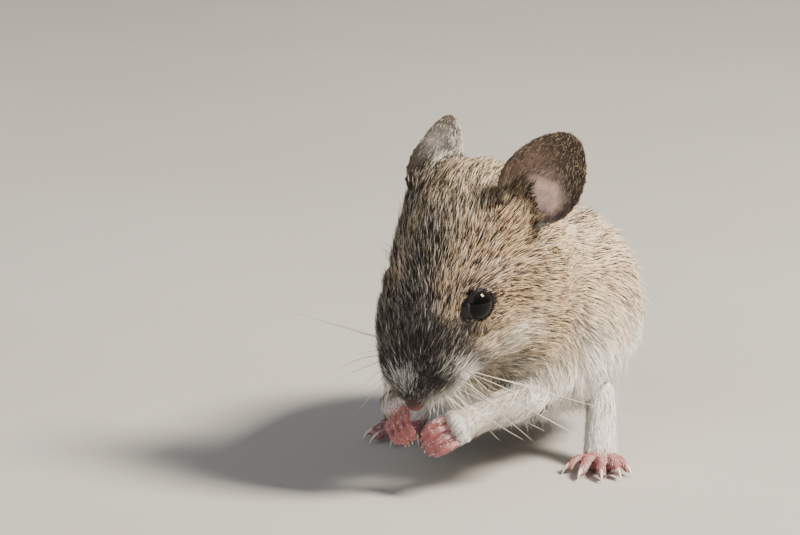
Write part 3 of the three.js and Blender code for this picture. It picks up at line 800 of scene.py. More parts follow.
    def _thin_out_paws(self) -> None:
        """Leaves the digits nearly bare and the wrists and heels well haired."""
        points = self.surface.points
        self.palm = np.zeros(len(points))
        self.haired = np.zeros(len(points))
        upper = step(0.0, 0.6, self.surface.normals()[:, 2])
        for side in Side:
            wrist, tips = forepaw_line(side)
            reach = tips - wrist
            share = (points - wrist) @ reach / (reach @ reach)
            hand = self.names == f"forepaw_{side.label}"
            haired = np.maximum(step(0.34, 0.08, share), 0.18 * upper * step(0.65, 0.3, share))
            # the right hand, in the shadow of the head, gets fewer hairs and less white on its skin: painted
            # shade
            haired = haired * (1.0 if side is Side.LEFT else 0.4)
            self.density = np.where(hand, 0.2 + 5.7 * haired, self.density)
            self.length = np.where(hand, 0.5 + 0.9 * haired, self.length)
            self.palm = np.where(hand, 0.3 + 0.9 * bell(share - 0.38, 0.22), self.palm)
            self.haired = np.where(hand, haired, self.haired)
            arm = self.names == f"forearm_{side.label}"
            cuff = step(-0.5, 0.0, share) * arm
            self.depth = self.depth * (1 - 0.9 * cuff)
            self.density = self.density * (1 + 1.4 * cuff)
            self.length = self.length * (1 - 0.15 * cuff)
            self.hang = self.hang * (1 - 0.85 * cuff)
        foot = self.kinds == "hind_foot"
        heel = foot * step(2.2, 3.6, points[:, 2])
        hock = foot * step(6.5, 9.0, points[:, 2])
        self.haired = np.maximum(self.haired, heel)
        self.density = np.where(foot, 0.4 + 4.0 * heel + 3.0 * hock, self.density)
        self.length = np.where(foot, self.length * (0.6 + 0.6 * heel + 0.9 * hock), self.length)
        self.density = np.where(self.buried, 0.0, self.density)

    def _settle(self) -> None:
        """Smooths the skin and draws it in by the coat's depth."""
        surface = self.surface
        start = surface.points.copy()
        furred = step(0.2, 1.0, self.depth)[:, None]
        surface.points = surface.spread(surface.points, 2, 0.5)
        surface.points = surface.spread(surface.points, 34, 0.5 * furred)
        depth = np.where(self.buried, 0.0, self.depth)
        pull = (self.swell + depth)[:, None] / self.settle_steps
        for _ in range(self.settle_steps):
            surface.points = surface.points - surface.normals() * pull
            surface.points = surface.spread(surface.points, 2, 0.05 + 0.45 * furred)
        for i in range(self.polish_rounds + self.fine_rounds):
            share = (1 - furred) * (self.fine[:, None] if i >= self.polish_rounds else 1.0)
            surface.points = surface.spread(surface.points, 1, 0.5 * share)
            surface.points = surface.spread(surface.points, 1, -0.52 * share)
        self._blunt_digits(start)
        self._fit_eyes()
        self._rest_on_floor()
        # how deep each point lies in a hollow, for the painted shade between the digits of the paws
        dip = ((surface.spread(surface.points, 14) - surface.points) * surface.normals()).sum(1)
        self.crease_shade = step(0.005, 0.07, dip)
        self.normal = unit(surface.spread(surface.normals(), 2))
        self.hang *= step(0.25, -0.6, self.normal[:, 2])

    def _blunt_digits(self, start: Array) -> None:
        """Rounds the ends of the digits, whose claws are pieces of their own.

        Args:
            start: The surface's points before it was settled.
        """
        paws = np.nonzero(self.fine | self.buried)[0]
        fine = self.fine[paws]
        moved = self.surface.points[paws] - start[paws]
        far = np.linalg.norm(moved, axis=1)
        kept = np.where(fine, np.minimum(1.0, self.most_moved / np.maximum(far, 1e-6)), 1.0)
        points = start[paws] + moved * kept[:, None]
        rounding = np.where(fine, 0.85, 0.4)
        for digit in all_digits():
            way = unit(digit.tip - digit.knuckle)
            out = points - digit.tip
            ahead = out @ way
            aside = np.linalg.norm(out - ahead[:, None] * way, axis=1)
            distance = np.linalg.norm(out, axis=1)
            reach = rounding * digit.radius
            past_tip = (ahead > 0.1) & (ahead < 3.0) & (aside < 1.2 * digit.radius)
            beyond = past_tip & (distance > reach)
            points[beyond] = digit.tip + out[beyond] * (reach / distance)[beyond, None]
        self.surface.points[paws] = points
        self.surface.points = self.surface.spread(self.surface.points, 2, 0.3 * self.fine[:, None])

    def _fit_eyes(self) -> None:
        """Closes the skin round each eyeball, so that the lids touch it."""
        wanted = EYE_RADIUS - 0.1
        for side in Side:
            centre = EyePlace(side).centre()
            out = self.surface.points - centre
            distance = np.linalg.norm(out, axis=1)
            share = step(EYE_RADIUS + 1.0, EYE_RADIUS + 0.2, distance)
            moved = centre + unit(out) * (distance + (wanted - distance) * share)[:, None]
            near = distance < EYE_RADIUS + 1.0
            self.surface.points[near] = moved[near]

    def _rest_on_floor(self) -> None:
        """Keeps every point on or above the floor, and the soles flat on it."""
        z = self.surface.points[:, 2]
        sole = z < SOLE_HEIGHT
        self.surface.points[:, 2] = np.where(sole, np.maximum(z * 0.2, 0.004), z)

    def _lay_hair(self) -> None:
        """Works out the way the hair lies at each point of the skin."""
        points, n = self.surface.points, len(self.surface.points)
        lie = np.tile(np.array((0.0, 1.0, -0.3)), (n, 1))
        combed = self._combed_head()
        on_head = np.isin(self.kinds, HEAD_KINDS)
        lie[on_head] = combed[on_head]
        neck = self.kinds == "neck"
        lie[neck] = unit(combed[neck] * 0.5 + np.array((0.0, 0.9, -0.1)))
        outward = np.sign(points[:, 0] - ROW_SHIFT[0])
        down = {"upper_arm": (0.2, 0.1, -1.0), "thigh": (0.1, 0.75, -0.7), "chest": (0.0, 1.0, -0.55)}
        for kind, way in down.items():
            mask = self.kinds == kind
            ways = np.column_stack([outward * way[0], np.full(n, way[1]), np.full(n, way[2])])
            lie[mask] = ways[mask]
        for side in Side:
            self._lay_limbs(lie, side)
            ear = EARS[side]
            lie[self.names == f"ear_{side.label}"] = HEAD.direction(mirrored(side, ear.axis))
        tail = self.kinds == "tail"
        self.run = np.zeros(n)
        self.run[tail], lie[tail] = along_tail(points[tail])
        lie = self._flatten(lie)
        for _ in range(10):
            lie = self._flatten(self.surface.spread(lie, 5))
        swirl = 0.16 * wander(points, 6.0, 5) + 0.1 * wander(points, 2.2, 6)
        swirl = swirl * np.where(self.kinds == "muzzle", 0.4, 1.0)
        across = np.cross(self.normal, lie)
        self.lie = unit(lie + across * swirl[:, None])

    def _combed_head(self) -> Array:
        """The lie of the head's hair: away from the nose, and down over the cheeks."""
        q = HEAD.local(self.surface.points)
        away = unit(q - np.array((0.4, -12.4, -5.8)))
        cheek = step(2.0, 8.0, np.abs(q[:, 0])) * step(6.5, -3.5, q[:, 2]) * step(-7.0, 3.5, q[:, 1])
        drop = np.array((0.0, 0.35, -0.9))
        combed = unit(away * (1 - 0.85 * cheek)[:, None] + drop * (0.85 * cheek)[:, None])
        return combed @ HEAD.turned().T

    def _lay_limbs(self, lie: Array, side: Side) -> None:
        """Points the hair of one side's limbs along them."""
        wrist, tips = forepaw_line(side)
        arm_way = unit(wrist - elbow_of(side) + np.array((0, 0, -3.0)))
        lie[self.names == f"forearm_{side.label}"] = arm_way
        lie[self.names == f"forepaw_{side.label}"] = unit(tips - wrist)
        heel, ball = foot_line(side)
        foot = self.names == f"hind_foot_{side.label}"
        high = self.surface.points[:, 2] > 2.4
        lie[foot & high] = unit(ball - heel)
        lie[foot & ~high] = foot_forward(side)

    def _flatten(self, lie: Array) -> Array:
        """Directions turned into the skin's surface."""
        flat = lie - self.normal * (lie * self.normal).sum(1, keepdims=True)
        return unit(flat)

    def _mark(self) -> None:
        """Works out the markings of skin and coat, each from 0 to 1, with painted shade on the far side of
        the head and next to the cheek.
        """
        points = self.surface.points
        local = HEAD.local(points)
        ragged = 1.1 * wander(points, 3.0, 11) + 0.5 * wander(points, 1.1, 12)
        on_head = self.surface.spread(np.isin(self.kinds, HEAD_KINDS).astype(float), 30)
        whisker_bed = step(-3.4, -6.4, local[:, 1])
        # painted shade next to the cheek, darker and browner
        behind = SHADE_BEHIND_CHEEK.share(points - ROW_SHIFT)
        spine = bell(points[:, 0] - ROW_SHIFT[0], 7.0) * step(22, 29, points[:, 2])
        dusk = self._face_dusk(local, whisker_bed) * on_head + (0.1 + 0.5 * spine) * (1 - on_head)
        dusk = np.maximum(dusk, 0.75 * behind)
        warm = np.clip(self._face_warm(local) * on_head + 0.7 * behind + 0.12 * ragged, 0, 1)
        fan = step(-8.6, -10.2, local[:, 1]) * step(-4.6, -3.4, local[:, 2])
        soot = strongest(*[blot.share(local) for blot in (NOSE_BACK, BESIDE_NOSE, BEFORE_EYE)],
                         0.95 * fan, 0.45 * whisker_bed)
        self.pale = np.clip(self.surface.spread(self._pale_under(local, ragged, on_head), 5), 0, 1)
        self.dusk = np.clip(self.surface.spread(dusk, 5) * (1 - 0.8 * self.pale), -0.6, 1)
        self.warm = np.clip(self.surface.spread(warm, 5) * (1 - self.pale), 0, 1)
        self.soot = np.clip(soot, 0, 1) * on_head
        self.silver = 0.02 * on_head + sum(share * blot.share(local) for share, blot in SILVER_BLOTS)
        self.nose_low = step(-4.3, -5.3, local[:, 2])
        self.lid = np.maximum(bell(np.maximum(self.from_eye, 0), 0.6), bell(self.from_corner, CORNER_SPREAD))

    def _pale_under(self, local: Array, ragged: Array, on_head: Array) -> Array:
        """The white of the lip, the low cheek, the underside and the limbs."""
        _, y, z = self.surface.points.T
        hx, hy, hz = local.T
        lip = -4.5 - 0.9 * np.maximum(hy + 8.0, 0.0) - 1.2 * step(0.5, -2.0, hx)
        head_pale = step(0.9, -0.9, hz - lip + 0.7 * ragged)
        line = self.white_below - 7.5 * step(-16.0, 2.0, y) * (self.kinds == "rump")
        body_pale = np.maximum(step(1.3, -1.3, z - line + ragged), 0.32 * step(7.0, -1.0, z - line))
        pale = head_pale * on_head + body_pale * (1 - on_head)
        pale = np.where(self.kinds == "forearm", (0.70 + 0.25 * ragged) * pale, pale)
        return np.maximum(pale, 0.55 * LOW_CHEEK.share(local, 1.1) * on_head)

    def _face_dusk(self, local: Array, whisker_bed: Array) -> Array:
        """The dusky crown, bridge, whisker bed and brow, and painted shade over the far side of the head."""
        hx, hy, hz = local.T
        crown = bell(hx, 3.2 + 1.4 * step(2.0, 9.0, hy)) * step(-14.0, -9.0, hz + hy)
        bridge = bell(hx, 3.6) * step(-2.0, -5.0, hy) * step(-6.4, -5.2, hz)
        middle = np.clip(0.9 * crown * (1 - 0.55 * step(3.0, 9.0, hy)) + bridge, 0, 1)
        # painted shade: the far side of the head, away from the key light, is darkened in colour
        far_side = step(-1.5, -4.0, hx)
        dusk = strongest(middle, whisker_bed, 0.9 * CHEEK_SPOT.share(local), 0.8 * far_side)
        dusk = dusk * (1 - 0.8 * EAR_FRONT.share(local))
        low = step(-5.0, -1.0, hz)
        round_eye = bell(self.from_eye - 1.2, 2.4) * step(-1.5, 1.5, hz)
        above_brow = bell(np.abs(hx) - 4.6, 2.4) * step(-6.0, -3.0, hy) * step(9.0, 5.0, hy)
        above_brow *= step(0.0, 2.5, hz)
        dusk = strongest(dusk, 0.24 * low, 0.5 * round_eye, 0.45 * above_brow)
        return np.maximum(dusk - 0.6 * LOW_CHEEK.share(local), BEFORE_EYE.share(local))

    def _face_warm(self, local: Array) -> Array:
        """The warm eye ring, brow stripe and ear roots."""
        hx, hy, hz = local.T
        eye_ring = bell(self.from_eye - 1.8, 2.2)
        brow_stripe = bell(np.abs(hx) - 5.2, 2.2) * step(-7, -3, hy) * step(10, 5, hy) * step(-2.5, 0.5, hz)
        roots = [HEAD.place(mirrored(side, ear.root)) for side, ear in EARS.items()]
        ear_root = np.minimum(*[distance_to(self.surface.points, root) for root in roots])
        return np.clip(0.6 * eye_ring + 0.7 * brow_stripe + 0.8 * bell(ear_root, 4.0), 0, 1)

    def _mark_ears(self) -> dict[str, Array]:
        """The ears' markings by name, 0 on the rest of the skin."""
        marks = {name: np.zeros(len(self.surface.points)) for name in EAR_MARKS}
        for side, ear in EARS.items():
            mask = self.names == f"ear_{side.label}"
            for name, values in ear.marks(self.surface.points, self.normal).items():
                marks[name][mask] = values[mask]
        return marks

    def _dress(self) -> Object:
        """Turns the surface into an object with its markings stored on it."""
        mesh = mesh_from("skin", self.surface.points, self.surface.faces)
        ears = self._mark_ears()
        tail = self.kinds == "tail"
        top = np.zeros(len(self.surface.points))
        top[tail] = step(-0.35, 0.35, self.normal[tail, 2])
        values = {"pale": self.pale, "dusk": self.dusk, "warm": self.warm, "lid": self.lid,
                  "soft": self.soft, "soot": self.soot, "crease_shade": self.crease_shade, "haired": self.haired,
                  "flush": self.palm + self.nose_low, "top": top, "run": self.run, **ears}
        for name, numbers in values.items():
            put_values(mesh, name, numbers)
        ground = np.array([GROUNDS.get(kind_of(name), Ground.FURRED).value for name in FLESH])
        votes = ground[self.owner][self.surface.faces]
        mesh.polygons.foreach_set("material_index", votes.max(1).astype(np.int32))
        self.inner, self.concha = ears["inner"], ears["concha"]
        self.rim, self.sunlit_silver = ears["rim"], ears["sunlit_silver"]
        self.density = self.density * (1 - 0.6 * np.maximum(ears["concha"], ears["veil"]))
        self.tree = self.surface.tree()
        obj = new_object("skin", mesh)
        for finish in (FurredSkin(), PawSkin(), EarSkin(), TailSkin(), NoseSkin()):
            mesh.materials.append(finish.material())
        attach(obj, BODY)
        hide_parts(*FLESH)
        return obj


# ---------------- coat


@dataclass
class Roots:
    """Places on the skin where hairs grow, as the corners of its triangles and their weights."""

    corners: Array
    weights: Array

    def read(self, values: Array) -> Array:
        """One of the skin's fields at each root."""
        picked = values[self.corners]
        return (picked * (self.weights[:, :, None] if picked.ndim == 3 else self.weights)).sum(1)


@dataclass
class Hairs:
    """The hairs of one piece of coat as arrays: where each starts, bends and ends."""

    root: Array
    normal: Array
    middle: Array
    tip: Array
    width: Array


@dataclass
class Tufts:
    """The hair of one part of the body, as closed spindles that follow the lie of the coat."""

    name: str
    kinds: tuple[str, ...]
    count: int
    seed: int
    slot: str = "brown_coat"
    side: Side | None = None
    clump: float = 0.8  # how far a clump reaches, in millimetres
    gather: float = 0.35  # how far its tips are drawn together
    guard_share: float = 0.09
    per_clump: int = 9

    def build(self, skin: Skin, material: Material) -> Object:
        """Grows the tufts.

        Args:
            skin: The skin they grow from.
            material: Their material.

        Returns:
            The coat piece.
        """
        rng = np.random.default_rng(self.seed)
        triangles = self._triangles(skin)
        sheet = self._unwrap(skin, triangles)
        chosen, weights = self._scatter(skin, triangles, rng)
        roots = Roots(triangles[chosen], weights)
        hairs, tone = self._grow(skin, roots, rng)
        mesh = self._spindles(hairs, rng)
        self._mark(mesh, skin, roots, tone, rng)
        self._bake_map(mesh, (sheet[chosen] * weights[:, :, None]).sum(1))
        mesh.materials.append(material)
        obj = new_object(self.name, mesh)
        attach(obj, BODY)
        log.info("%s: %d tufts", self.name, len(chosen))
        return obj

    def _grow(self, skin: Skin, roots: Roots, rng: Draws) -> tuple[Hairs, Array]:
        """Lays every hair over the skin.

        Args:
            skin: The skin they grow from.
            roots: Where they grow.
            rng: The piece's random draws.

        Returns:
            The hairs, and for each a tone that its clump shares.
        """
        root, normal = roots.read(skin.surface.points), unit(roots.read(skin.normal))
        lie = unit(roots.read(skin.lie))
        length = roots.read(skin.length) * rng.uniform(0.62, 1.12, len(root))
        width = roots.read(skin.width) * rng.uniform(0.75, 1.3, len(root))
        lie = self._ruffle(lie, normal, root, rng)
        guard = rng.random(len(root)) < self.guard_share
        length = np.where(guard, length * 1.25, length)
        fine = rng.random(len(root)) < 0.5
        width = width * np.where(fine, 1.0 - 0.3 * roots.read(skin.dusk), 1.0)
        middle, tip = self._rise(skin, root, lie, length, guard, rng)
        hang = roots.read(skin.hang) * length * rng.uniform(0.2, 1.0, len(root))
        middle[:, 2] -= hang * 0.3
        tip[:, 2] -= hang
        middle, tip, tone = self._clump(root, middle, tip, rng)
        self._open_corners(root, middle, tip)
        for points in (middle, tip):
            points[:, 2] = np.maximum(points[:, 2], HAIR_GAP)
        return Hairs(root - normal * 0.05, normal, middle, tip, width), tone

    def _mark(self, mesh: Mesh, skin: Skin, roots: Roots, tone: Array,
              rng: Draws) -> None:
        """Stores the skin's markings on each tuft, and what tells one tuft from another."""
        marks = {key: roots.read(getattr(skin, key)) for key in COAT_MARKS}
        marks |= {"strand": rng.random(len(tone)), "tone": tone}
        silver = 0.9 * (rng.random(len(tone)) < roots.read(skin.silver))
        marks["pale"] = np.maximum(marks["pale"], silver)
        for key, values in marks.items():
            put_values(mesh, key, np.repeat(values, len(TUFT_ALONG)))
        put_values(mesh, "along", np.tile(np.array(TUFT_ALONG), len(tone)))

    def _triangles(self, skin: Skin) -> Array:
        """The skin's triangles that this piece grows from."""
        faces = skin.surface.faces
        keep = np.isin(skin.kinds[faces[:, 0]], self.kinds)
        if self.side is not None:
            across = HEAD.local(skin.surface.points)[faces[:, 0], 0]
            keep &= (across * self.side.value) > 0
        faces = faces[keep]
        return np.concatenate([faces[:, [0, 1, 2]], faces[:, [0, 2, 3]]])

    def _unwrap(self, skin: Skin, triangles: Array) -> Array:
        """An unwrap of this stretch of skin that fills the bake map, as (triangle, corner, 2)."""
        used, index = np.unique(triangles, return_inverse=True)
        mesh = mesh_from("unwrap", skin.surface.points[used], index.reshape(-1, 3))
        mesh.uv_layers.new(name="flat")
        obj = new_object("unwrap", mesh)
        bpy.context.view_layer.objects.active = obj
        obj.select_set(True)
        bpy.ops.object.mode_set(mode="EDIT")
        bpy.ops.mesh.select_all(action="SELECT")
        bpy.ops.uv.smart_project(angle_limit=math.radians(66), island_margin=0.01)
        bpy.ops.object.mode_set(mode="OBJECT")
        flat = np.empty(len(mesh.loops) * 2, np.float32)
        mesh.uv_layers["flat"].data.foreach_get("uv", flat)
        bpy.data.objects.remove(obj)
        bpy.data.meshes.remove(mesh)
        return flat.reshape(-1, 3, 2)

    def _scatter(self, skin: Skin, triangles: Array,
                 rng: Draws) -> tuple[Array, Array]:
        """Chooses where the hairs grow, as triangle numbers and corner weights."""
        p = skin.surface.points[triangles]
        area = np.linalg.norm(np.cross(p[:, 1] - p[:, 0], p[:, 2] - p[:, 0]), axis=1) / 2
        open_skin = step(0.05, 0.5, skin.from_eye) * (1 - bell(skin.from_corner, 0.8))
        wanted = (skin.density * open_skin)[triangles].mean(1)
        weight = np.cumsum(area * np.maximum(wanted, 0))
        at = (np.arange(self.count) + rng.random(self.count)) / self.count * weight[-1]
        chosen = np.minimum(np.searchsorted(weight, at), len(triangles) - 1)
        a, b = np.sqrt(rng.random(self.count)), rng.random(self.count)
        return chosen, np.column_stack([1 - a, a * (1 - b), a * b])

    def _ruffle(self, lie: Array, normal: Array, root: Array,
                rng: Draws) -> Array:
        """Turns each hair a little off the lie of the coat."""
        turn = rng.normal(0, 0.13, len(root)) + 0.12 * wander(root, 1.6, self.seed + 40)
        across = np.cross(normal, lie)
        return unit(lie + across * turn[:, None])

    def _rise(self, skin: Skin, root: Array, lie: Array, length: Array, guard: Array,
              rng: Draws) -> tuple[Array, Array]:
        """Follows the skin from each root and finds the hair's middle and tip."""
        middles, tips = np.empty_like(root), np.empty_like(root)
        ease = rng.uniform(0.6, 1.12, len(root))
        stray = np.where(guard, rng.uniform(0.1, 1.0, len(root)), 0.0)
        ends = root + lie * length[:, None]
        halves = root + lie * (length * 0.5)[:, None]
        find = skin.tree.find_nearest
        for out, targets, height in ((middles, halves, 0.66), (tips, ends, 1.0)):
            found = [find(p) for p in targets.tolist()]
            face = np.array([hit[2] for hit in found])
            place = np.array([hit[0] for hit in found])
            corner = skin.surface.faces[face, 0]
            lift = np.maximum(skin.depth[corner], 0.1) * ease + stray * length * skin.fuzz[corner]
            out[:] = place + skin.normal[corner] * (lift * height + HAIR_GAP)[:, None]
        return middles, tips

    def _clump(self, root: Array, middle: Array, tip: Array,
               rng: Draws) -> tuple[Array, Array, Array]:
        """Draws the tips of neighbouring hairs together into soft points."""
        leaders = rng.choice(len(root), max(1, len(root) // self.per_clump), replace=False)
        tree = KDTree(len(leaders))
        for i, leader in enumerate(leaders):
            tree.insert(root[leader], i)
        tree.balance()
        which = np.array([tree.find(p)[1] for p in root.tolist()])
        lead = leaders[which]
        near = np.linalg.norm(root - root[lead], axis=1) < self.clump
        share = np.where(near, self.gather * rng.uniform(0.4, 1.2, len(root)), 0.0)[:, None]
        tone = rng.random(len(leaders))[which]
        return middle + (middle[lead] - middle) * share * 0.5, tip + (tip[lead] - tip) * share, tone

    def _open_corners(self, root: Array, middle: Array, tip: Array) -> None:
        """Shortens the hairs that would cross the front corner of an eye."""
        for side in Side:
            place = EyePlace(side)
            way = unit(place.corner() - place.centre() + 0.9 * place.basis()[2])
            beside = place.centre() + way * EYE_RADIUS
            for spot, reach in ((place.corner(), 0.7), (beside, 0.95)):
                crossing = np.minimum(distance_to(middle, spot), distance_to(tip, spot)) < reach
                for points in (middle, tip):
                    points[crossing] = root[crossing] + (points[crossing] - root[crossing]) * 0.2

    def _spindles(self, hairs: Hairs, rng: Draws) -> Mesh:
        """Builds the closed spindles: a point, a three-cornered waist and a point."""
        n = len(hairs.root)
        way = unit(hairs.tip - hairs.root)
        normal = unit(hairs.normal + rng.normal(0, 0.22, (n, 3)))
        across = unit(np.cross(way, normal))
        above = np.cross(across, way)
        half = (hairs.width / 2)[:, None]
        middle = hairs.middle
        ring = [middle + across * half, middle - across * half, middle + above * half * 0.9]
        points = np.stack([hairs.root, *ring, hairs.tip], axis=1).reshape(-1, 3)
        one = np.array([(0, 2, 1), (0, 3, 2), (0, 1, 3), (4, 1, 2), (4, 2, 3), (4, 3, 1)])
        faces = (one[None] + len(TUFT_ALONG) * np.arange(n)[:, None, None]).reshape(-1, 3)
        mesh = mesh_from(self.name, points, faces)
        leans = (0, across * 0.9, across * -0.9, above * 0.6, way * 0.35)
        soft = np.stack([unit(normal + lean) for lean in leans], axis=1).reshape(-1, 3)
        mesh.normals_split_custom_set_from_vertices(soft.tolist())
        return mesh

    def _bake_map(self, mesh: Mesh, patch: Array) -> None:
        """Gives each tuft its own small patch at its root's place."""
        layer = mesh.uv_layers.new(name=BAKE_MAP)
        half = TUFT_PATCH / 2
        corners = np.array([(0, 0), (-half, half), (half, half), (0, half), (0, TUFT_PATCH)])
        places = (patch[:, None] + corners[None]).reshape(-1, 2)
        index = np.empty(len(mesh.loops), np.int32)
        mesh.loops.foreach_get("vertex_index", index)
        flat = np.clip(places[index], 0.0, 1.0)
        layer.data.foreach_set("uv", flat.astype(np.float32).ravel())
        layer.active_render = True


# ---------------- nodes


class Sheet:
    """Adds and joins the nodes of one node tree."""

    def __init__(self, tree: NodeTree) -> None:
        """Keeps the tree."""
        self.tree = tree

    def add(self, kind: str, inputs: dict | None = None, **settings: object) -> Node:
        """Adds a node.

        Args:
            kind: The node's Blender type.
            inputs: Values or sockets for its inputs, by name or number.
            **settings: Its properties.

        Returns:
            The node.
        """
        node = self.tree.nodes.new(kind)
        for key, value in settings.items():
            setattr(node, key, value)
        for key, value in (inputs or {}).items():
            if isinstance(value, NodeSocket):
                self.tree.links.new(value, node.inputs[key])
            else:
                node.inputs[key].default_value = value
        return node

    def value(self, name: str) -> NodeSocket:
        """The number stored on the mesh under a name."""
        return self.add("ShaderNodeAttribute", attribute_name=name).outputs["Fac"]

    def sum(self, operation: str, *values: object, clamp: bool = False) -> NodeSocket:
        """The result of one arithmetic step."""
        settings = {"operation": operation, "use_clamp": clamp}
        return self.add("ShaderNodeMath", dict(enumerate(values)), **settings).outputs[0]

    def times(self, a: object, b: object) -> NodeSocket:
        """The product of two values."""
        return self.sum("MULTIPLY", a, b)

    def mix(self, share: object, a: object, b: object) -> NodeSocket:
        """Two colours mixed by a share."""
        return self.add("ShaderNodeMix", {0: share, 6: a, 7: b}, data_type="RGBA").outputs[2]

    def between(self, value: object, low: float, high: float, to_low: float = 0.0,
                to_high: float = 1.0) -> NodeSocket:
        """A smooth step of a value between two limits."""
        inputs = {"Value": value, "From Min": low, "From Max": high, "To Min": to_low, "To Max": to_high}
        return self.add("ShaderNodeMapRange", inputs, interpolation_type="SMOOTHSTEP").outputs[0]

    def place(self) -> NodeSocket:
        """The point's place in the model."""
        return self.add("ShaderNodeTexCoord").outputs["Object"]

    def noise(self, per_mm: float, detail: float = 3.0) -> NodeSocket:
        """Noise with a number of features to the millimetre."""
        inputs = {"Vector": self.place(), "Scale": per_mm / METRES, "Detail": detail, "Roughness": 0.55}
        return self.add("ShaderNodeTexNoise", inputs).outputs[0]

    def cells(self, per_mm: float) -> NodeSocket:
        """Distance to the middle of small cells."""
        inputs = {"Vector": self.place(), "Scale": per_mm / METRES}
        return self.add("ShaderNodeTexVoronoi", inputs).outputs["Distance"]


def colour(red: float, green: float, blue: float) -> tuple[float, float, float, float]:
    """An opaque linear colour."""
    return (red, green, blue, 1.0)


def open_group(name: str, inputs: dict[str, object],
               outputs: dict[str, str]) -> tuple[Sheet, dict, Node]:
    """Opens a new group for a shader effect that several materials share.

    Args:
        name: The group's name.
        inputs: Default values by input name; a tuple makes a colour input.
        outputs: Socket types by output name.

    Returns:
        The sheet to build on, the input sockets by name and the output node.
    """
    tree = bpy.data.node_groups.new(name, "ShaderNodeTree")
    for key, value in inputs.items():
        kind = "NodeSocketColor" if isinstance(value, tuple) else "NodeSocketFloat"
        socket = tree.interface.new_socket(key, in_out="INPUT", socket_type=kind)
        socket.default_value = value
    for key, kind in outputs.items():
        tree.interface.new_socket(key, in_out="OUTPUT", socket_type=kind)
    sheet = Sheet(tree)
    entry = sheet.add("NodeGroupInput")
    return sheet, {key: entry.outputs[key] for key in inputs}, sheet.add("NodeGroupOutput")


BAND_INPUTS = {"Along": 0.5, "Strand": 0.5, "Tone": 0.5, "Warm": 0.0, "Dusk": 0.0, "Pale": 0.0, "Soft": 0.0,
               "Soot": 0.0}


@cache
def hair_bands() -> NodeTree:
    """The ticked colour of one hair from its grey base to its tip."""
    outputs = {"Color": "NodeSocketColor", "Roughness": "NodeSocketFloat"}
    sheet, given, end = open_group("hair_bands", BAND_INPUTS, outputs)
    along, strand, tone, warm, dusk, pale, soft, soot = given.values()
    along = sheet.sum("ADD", along, sheet.sum("MULTIPLY_ADD", tone, 0.24, -0.12))
    white = white_hair(sheet, along, strand, tone, soft)
    lower = sheet.mix(sheet.between(along, 0.36, 0.60), *base_and_band(sheet, tone, warm, dusk, soft))
    cream = sheet.mix(soft, colour(0.96, 0.75, 0.47), colour(0.96, 0.78, 0.55))
    cream = sheet.mix(warm, cream, colour(0.78, 0.52, 0.27))
    cream = sheet.mix(sheet.times(dusk, 0.85), cream, colour(0.72, 0.66, 0.58))
    pale_tipped = sheet.mix(sheet.between(along, 0.54, 0.78), lower, cream)
    deep = sheet.mix(soft, colour(0.026, 0.021, 0.018), colour(0.085, 0.068, 0.054))
    black = sheet.mix(sheet.between(along, 0.3, 1.0), deep, colour(0.012, 0.009, 0.008))
    dark_share = sheet.sum("SUBTRACT", sheet.sum("MULTIPLY_ADD", dusk, 0.46, 0.33), sheet.times(soft, 0.17))
    agouti = sheet.mix(sheet.sum("LESS_THAN", strand, dark_share), pale_tipped, black)
    agouti = sheet.mix(sheet.times(soot, 0.88), agouti, colour(0.012, 0.010, 0.011))
    sheet.tree.links.new(sheet.mix(pale, agouti, white), end.inputs["Color"])
    sheet.tree.links.new(sheet.between(strand, 0.0, 1.0, 0.36, 0.55), end.inputs["Roughness"])
    return sheet.tree


def base_and_band(sheet: Sheet, tone: object, warm: object, dusk: object, soft: object) -> tuple:
    """The colours of an agouti hair's grey base and of the buff band over it."""
    under = sheet.mix(tone, colour(0.022, 0.018, 0.016), colour(0.060, 0.050, 0.043))
    under = sheet.mix(sheet.times(soft, 0.8), under, colour(0.20, 0.165, 0.130))
    buff = sheet.mix(warm, colour(0.38, 0.238, 0.130), colour(0.36, 0.182, 0.076))
    return under, sheet.mix(sheet.times(dusk, 0.8), buff, colour(0.10, 0.082, 0.066))


def white_hair(sheet: Sheet, along: object, strand: object, tone: object,
               soft: object) -> NodeSocket:
    """The colour of a white hair: grey at its base, and dull all along on some."""
    grey = sheet.mix(tone, colour(0.10, 0.095, 0.095), colour(0.22, 0.21, 0.20))
    grey = sheet.mix(sheet.times(soft, 0.5), grey, colour(0.60, 0.57, 0.54))
    white = sheet.mix(sheet.between(along, 0.22, 0.62), grey, colour(0.97, 0.94, 0.89))
    dull_strand = sheet.between(strand, 0.12, 0.34, 0.75, 0.0)
    dull = sheet.times(dull_strand, sheet.between(soft, 0.2, 0.9, 1.0, 0.35))
    return sheet.mix(dull, white, colour(0.26, 0.235, 0.20))


@cache
def skin_relief() -> NodeTree:
    """Mottled colour and fine creases of bare skin."""
    inputs = {"Light": colour(0.8, 0.6, 0.5), "Deep": colour(0.5, 0.25, 0.2), "Flush": 0.0}
    outputs = {"Color": "NodeSocketColor", "Height": "NodeSocketFloat", "Roughness": "NodeSocketFloat"}
    sheet, given, end = open_group("skin_relief", inputs, outputs)
    broad = sheet.between(sheet.noise(0.9, 4.0), 0.35, 0.68)
    share = sheet.sum("ADD", sheet.times(broad, 0.55), given["Flush"], clamp=True)
    mottled = sheet.mix(share, given["Light"], given["Deep"])
    fine = sheet.noise(7.0, 2.0)
    made = {
        "Color": sheet.mix(sheet.between(fine, 0.55, 0.75, 0.0, 0.25), mottled, given["Deep"]),
        "Height": sheet.sum("ADD", sheet.times(sheet.cells(4.5), 0.8), sheet.times(fine, 0.35)),
        "Roughness": sheet.between(fine, 0.3, 0.7, 0.40, 0.58),
    }
    for key, socket in made.items():
        sheet.tree.links.new(socket, end.inputs[key])
    return sheet.tree


